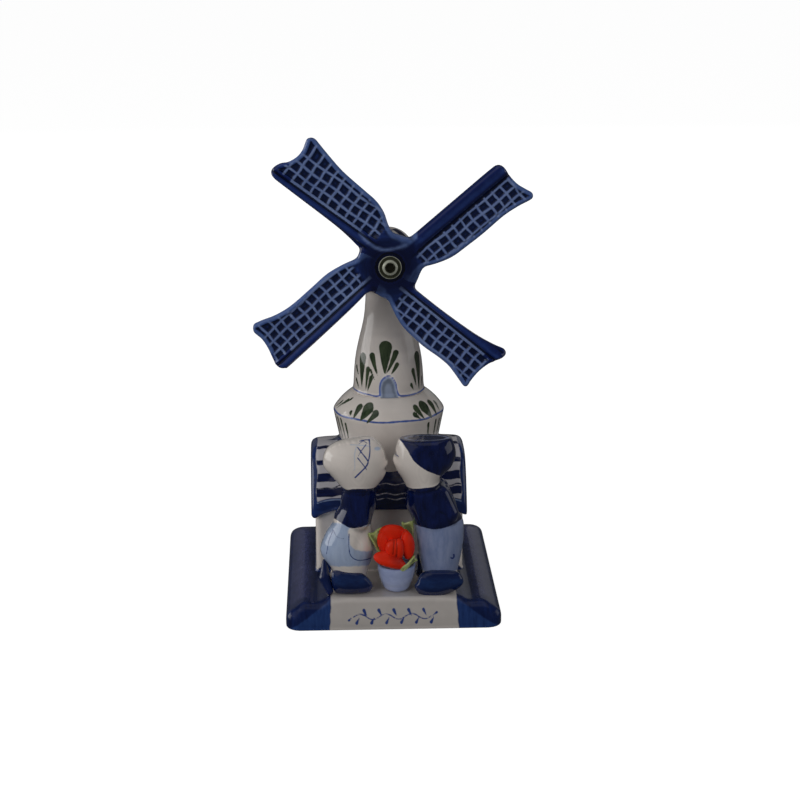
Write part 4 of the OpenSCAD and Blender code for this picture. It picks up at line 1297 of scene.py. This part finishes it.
def build_leaves():
    green = glaze("leaf_glaze", (0.30, 0.38, 0.13),
                  [("vein", (0.48, 0.50, 0.26), (0.36, 0.42, 0.18), 0.3, 1.6, 0.6)],
                  grain=(1.5, 1.5, 1.5), rough=0.4, hollow_shade_edge_highlight=0.6, coat=0.2)
    leaf("leaf_left", green, (-3.4, -0.2, POT_RIM + 1.6), (-8.2, -2.2, 27.2), (-4.2, -0.6, 28.0), 0.42)
    leaf("leaf_right", green, (4.6, 2.2, POT_RIM + 0.3), (1.8, 1.6, 28.8), (4.9, 1.4, 29.5), 0.42)
    leaf("leaf_front", green, (1.6, -5.5, POT_RIM + 0.3), (5.0, -4.2, 20.3), (5.9, -3.4, 19.0), 0.35)


# ---------------------------------------------------------------- build

build_plinth()
build_walls()
build_roof()
build_tower()
build_waist()
build_cap()
build_sails()
build_washer()
build_screw()
build_couple()
build_clogs()
build_pot()
build_flower()
build_leaves()

nylon = glaze("nylon", (0.80, 0.79, 0.73), grain=(1, 1, 1), rough=0.5, hollow_shade_edge_highlight=0, coat=0.0)
for name in ("sail_bush", "screw_anchor"):
    cad = frame["nodes"][name]
    cad.data.materials.clear()
    cad.data.materials.append(nylon)


# ---------------------------------------------------------------- floor, light and camera

floor_mesh = bpy.data.meshes.new("floor")
floor_half = 3.0
corners_round = ((-1, -1), (1, -1), (1, 1), (-1, 1))
floor_mesh.from_pydata([(floor_half * x, floor_half * y, 0) for x, y in corners_round], [], [(0, 1, 2, 3)])
floor = bpy.data.objects.new("floor", floor_mesh)
bpy.context.scene.collection.objects.link(floor)
pale = bpy.data.materials.new("floor_pale")
pale.use_nodes = True
for key, value in (("Base Color", (0.22, 0.22, 0.22, 1)), ("Roughness", 0.9), ("Specular IOR Level", 0.1),
                   ("Emission Color", (1, 1, 1, 1)), ("Emission Strength", 0.97)):
    pale.node_tree.nodes["Principled BSDF"].inputs[key].default_value = value
floor_mesh.materials.append(pale)
floor.visible_diffuse = False
floor.visible_glossy = False

world = bpy.data.worlds.new("studio")
bpy.context.scene.world = world
world.use_nodes = True
tree = world.node_tree
node, link = links(tree)
ground = tree.nodes["Background"]
ground.inputs["Color"].default_value = (0.95, 0.97, 1.0, 1)
ground.inputs["Strength"].default_value = 0.045
seen = node("ShaderNodeBackground")
seen.inputs["Color"].default_value = (1, 1, 1, 1)
seen.inputs["Strength"].default_value = 1.05
path = node("ShaderNodeLightPath")
mix = node("ShaderNodeMixShader")
link(path.outputs["Is Camera Ray"], mix.inputs[0])
link(ground.outputs[0], mix.inputs[1])
link(seen.outputs[0], mix.inputs[2])
link(mix.outputs[0], tree.nodes["World Output"].inputs["Surface"])


def softbox(name, at, size, power, mirrored):
    """A soft light aimed at the mill. Only a mirrored one is seen in the glaze."""
    light = bpy.data.lights.new(name, "AREA")
    light.shape = "RECTANGLE"
    light.size, light.size_y = size
    light.energy = power
    obj = bpy.data.objects.new(name, light)
    bpy.context.scene.collection.objects.link(obj)
    obj.location = at
    obj.rotation_euler = (Vector((0, 0, 0.06)) - Vector(at)).to_track_quat("-Z", "Y").to_euler()
    obj.visible_camera = False
    obj.visible_glossy = mirrored


softbox("top_box", (0.0, 0.05, 0.95), (1.0, 0.9), 0.5, True)
softbox("high_left", (-0.6, -0.3, 0.75), (0.9, 0.8), 0.45, True)
softbox("left_window", (-0.85, 0.10, 0.25), (0.7, 0.5), 1.6, True)
softbox("right_window", (0.85, 0.0, 0.30), (0.6, 0.5), 0.45, True)
softbox("back_right", (0.45, 0.85, 0.25), (0.7, 0.4), 0.13, True)
softbox("back_left", (-0.5, 0.85, 0.25), (0.7, 0.4), 0.05, True)
softbox("left_fill", (-0.75, -0.80, 0.50), (0.8, 0.6), 3.1, False)
softbox("right_fill", (0.70, -0.80, 0.45), (0.8, 0.6), 1.7, False)
softbox("back_fill", (0.0, 0.9, 0.45), (0.9, 0.6), 1.6, False)
softbox("front_fill", (0.0, -1.0, 0.50), (0.8, 0.6), 0.2, False)

camera_data = bpy.data.cameras.new("camera")
camera = bpy.data.objects.new("camera", camera_data)
bpy.context.scene.collection.objects.link(camera)
elevation, azimuth, roll = math.radians(16), math.radians(-1.8), math.radians(0.3)
distance, target = 0.56, Vector((0, MILL_Y * MM - 0.007, 0.06))
flat = math.cos(elevation)
back = Vector((math.sin(azimuth) * flat, -math.cos(azimuth) * flat, math.sin(elevation)))
right = (-back).cross(Vector((0, 0, 1))).normalized()
above = right.cross(-back)
spun_right = right * math.cos(roll) - above * math.sin(roll)
spun_above = right * math.sin(roll) + above * math.cos(roll)
facing = Matrix((spun_right, spun_above, back)).transposed().to_4x4()
camera.matrix_world = Matrix.Translation(target + back * distance) @ facing
camera_data.lens = 82.62  # mm, for Blender's 36 mm wide sensor
camera_data.shift_x = 0.0133125  # the figurine stands a little to the left of the middle
camera_data.shift_y = 0.00125
camera_data.clip_start = 0.05
camera_data.clip_end = 20
bpy.context.scene.camera = camera
bpy.context.scene.view_settings.view_transform = "Standard"

bpy.context.view_layer.update()
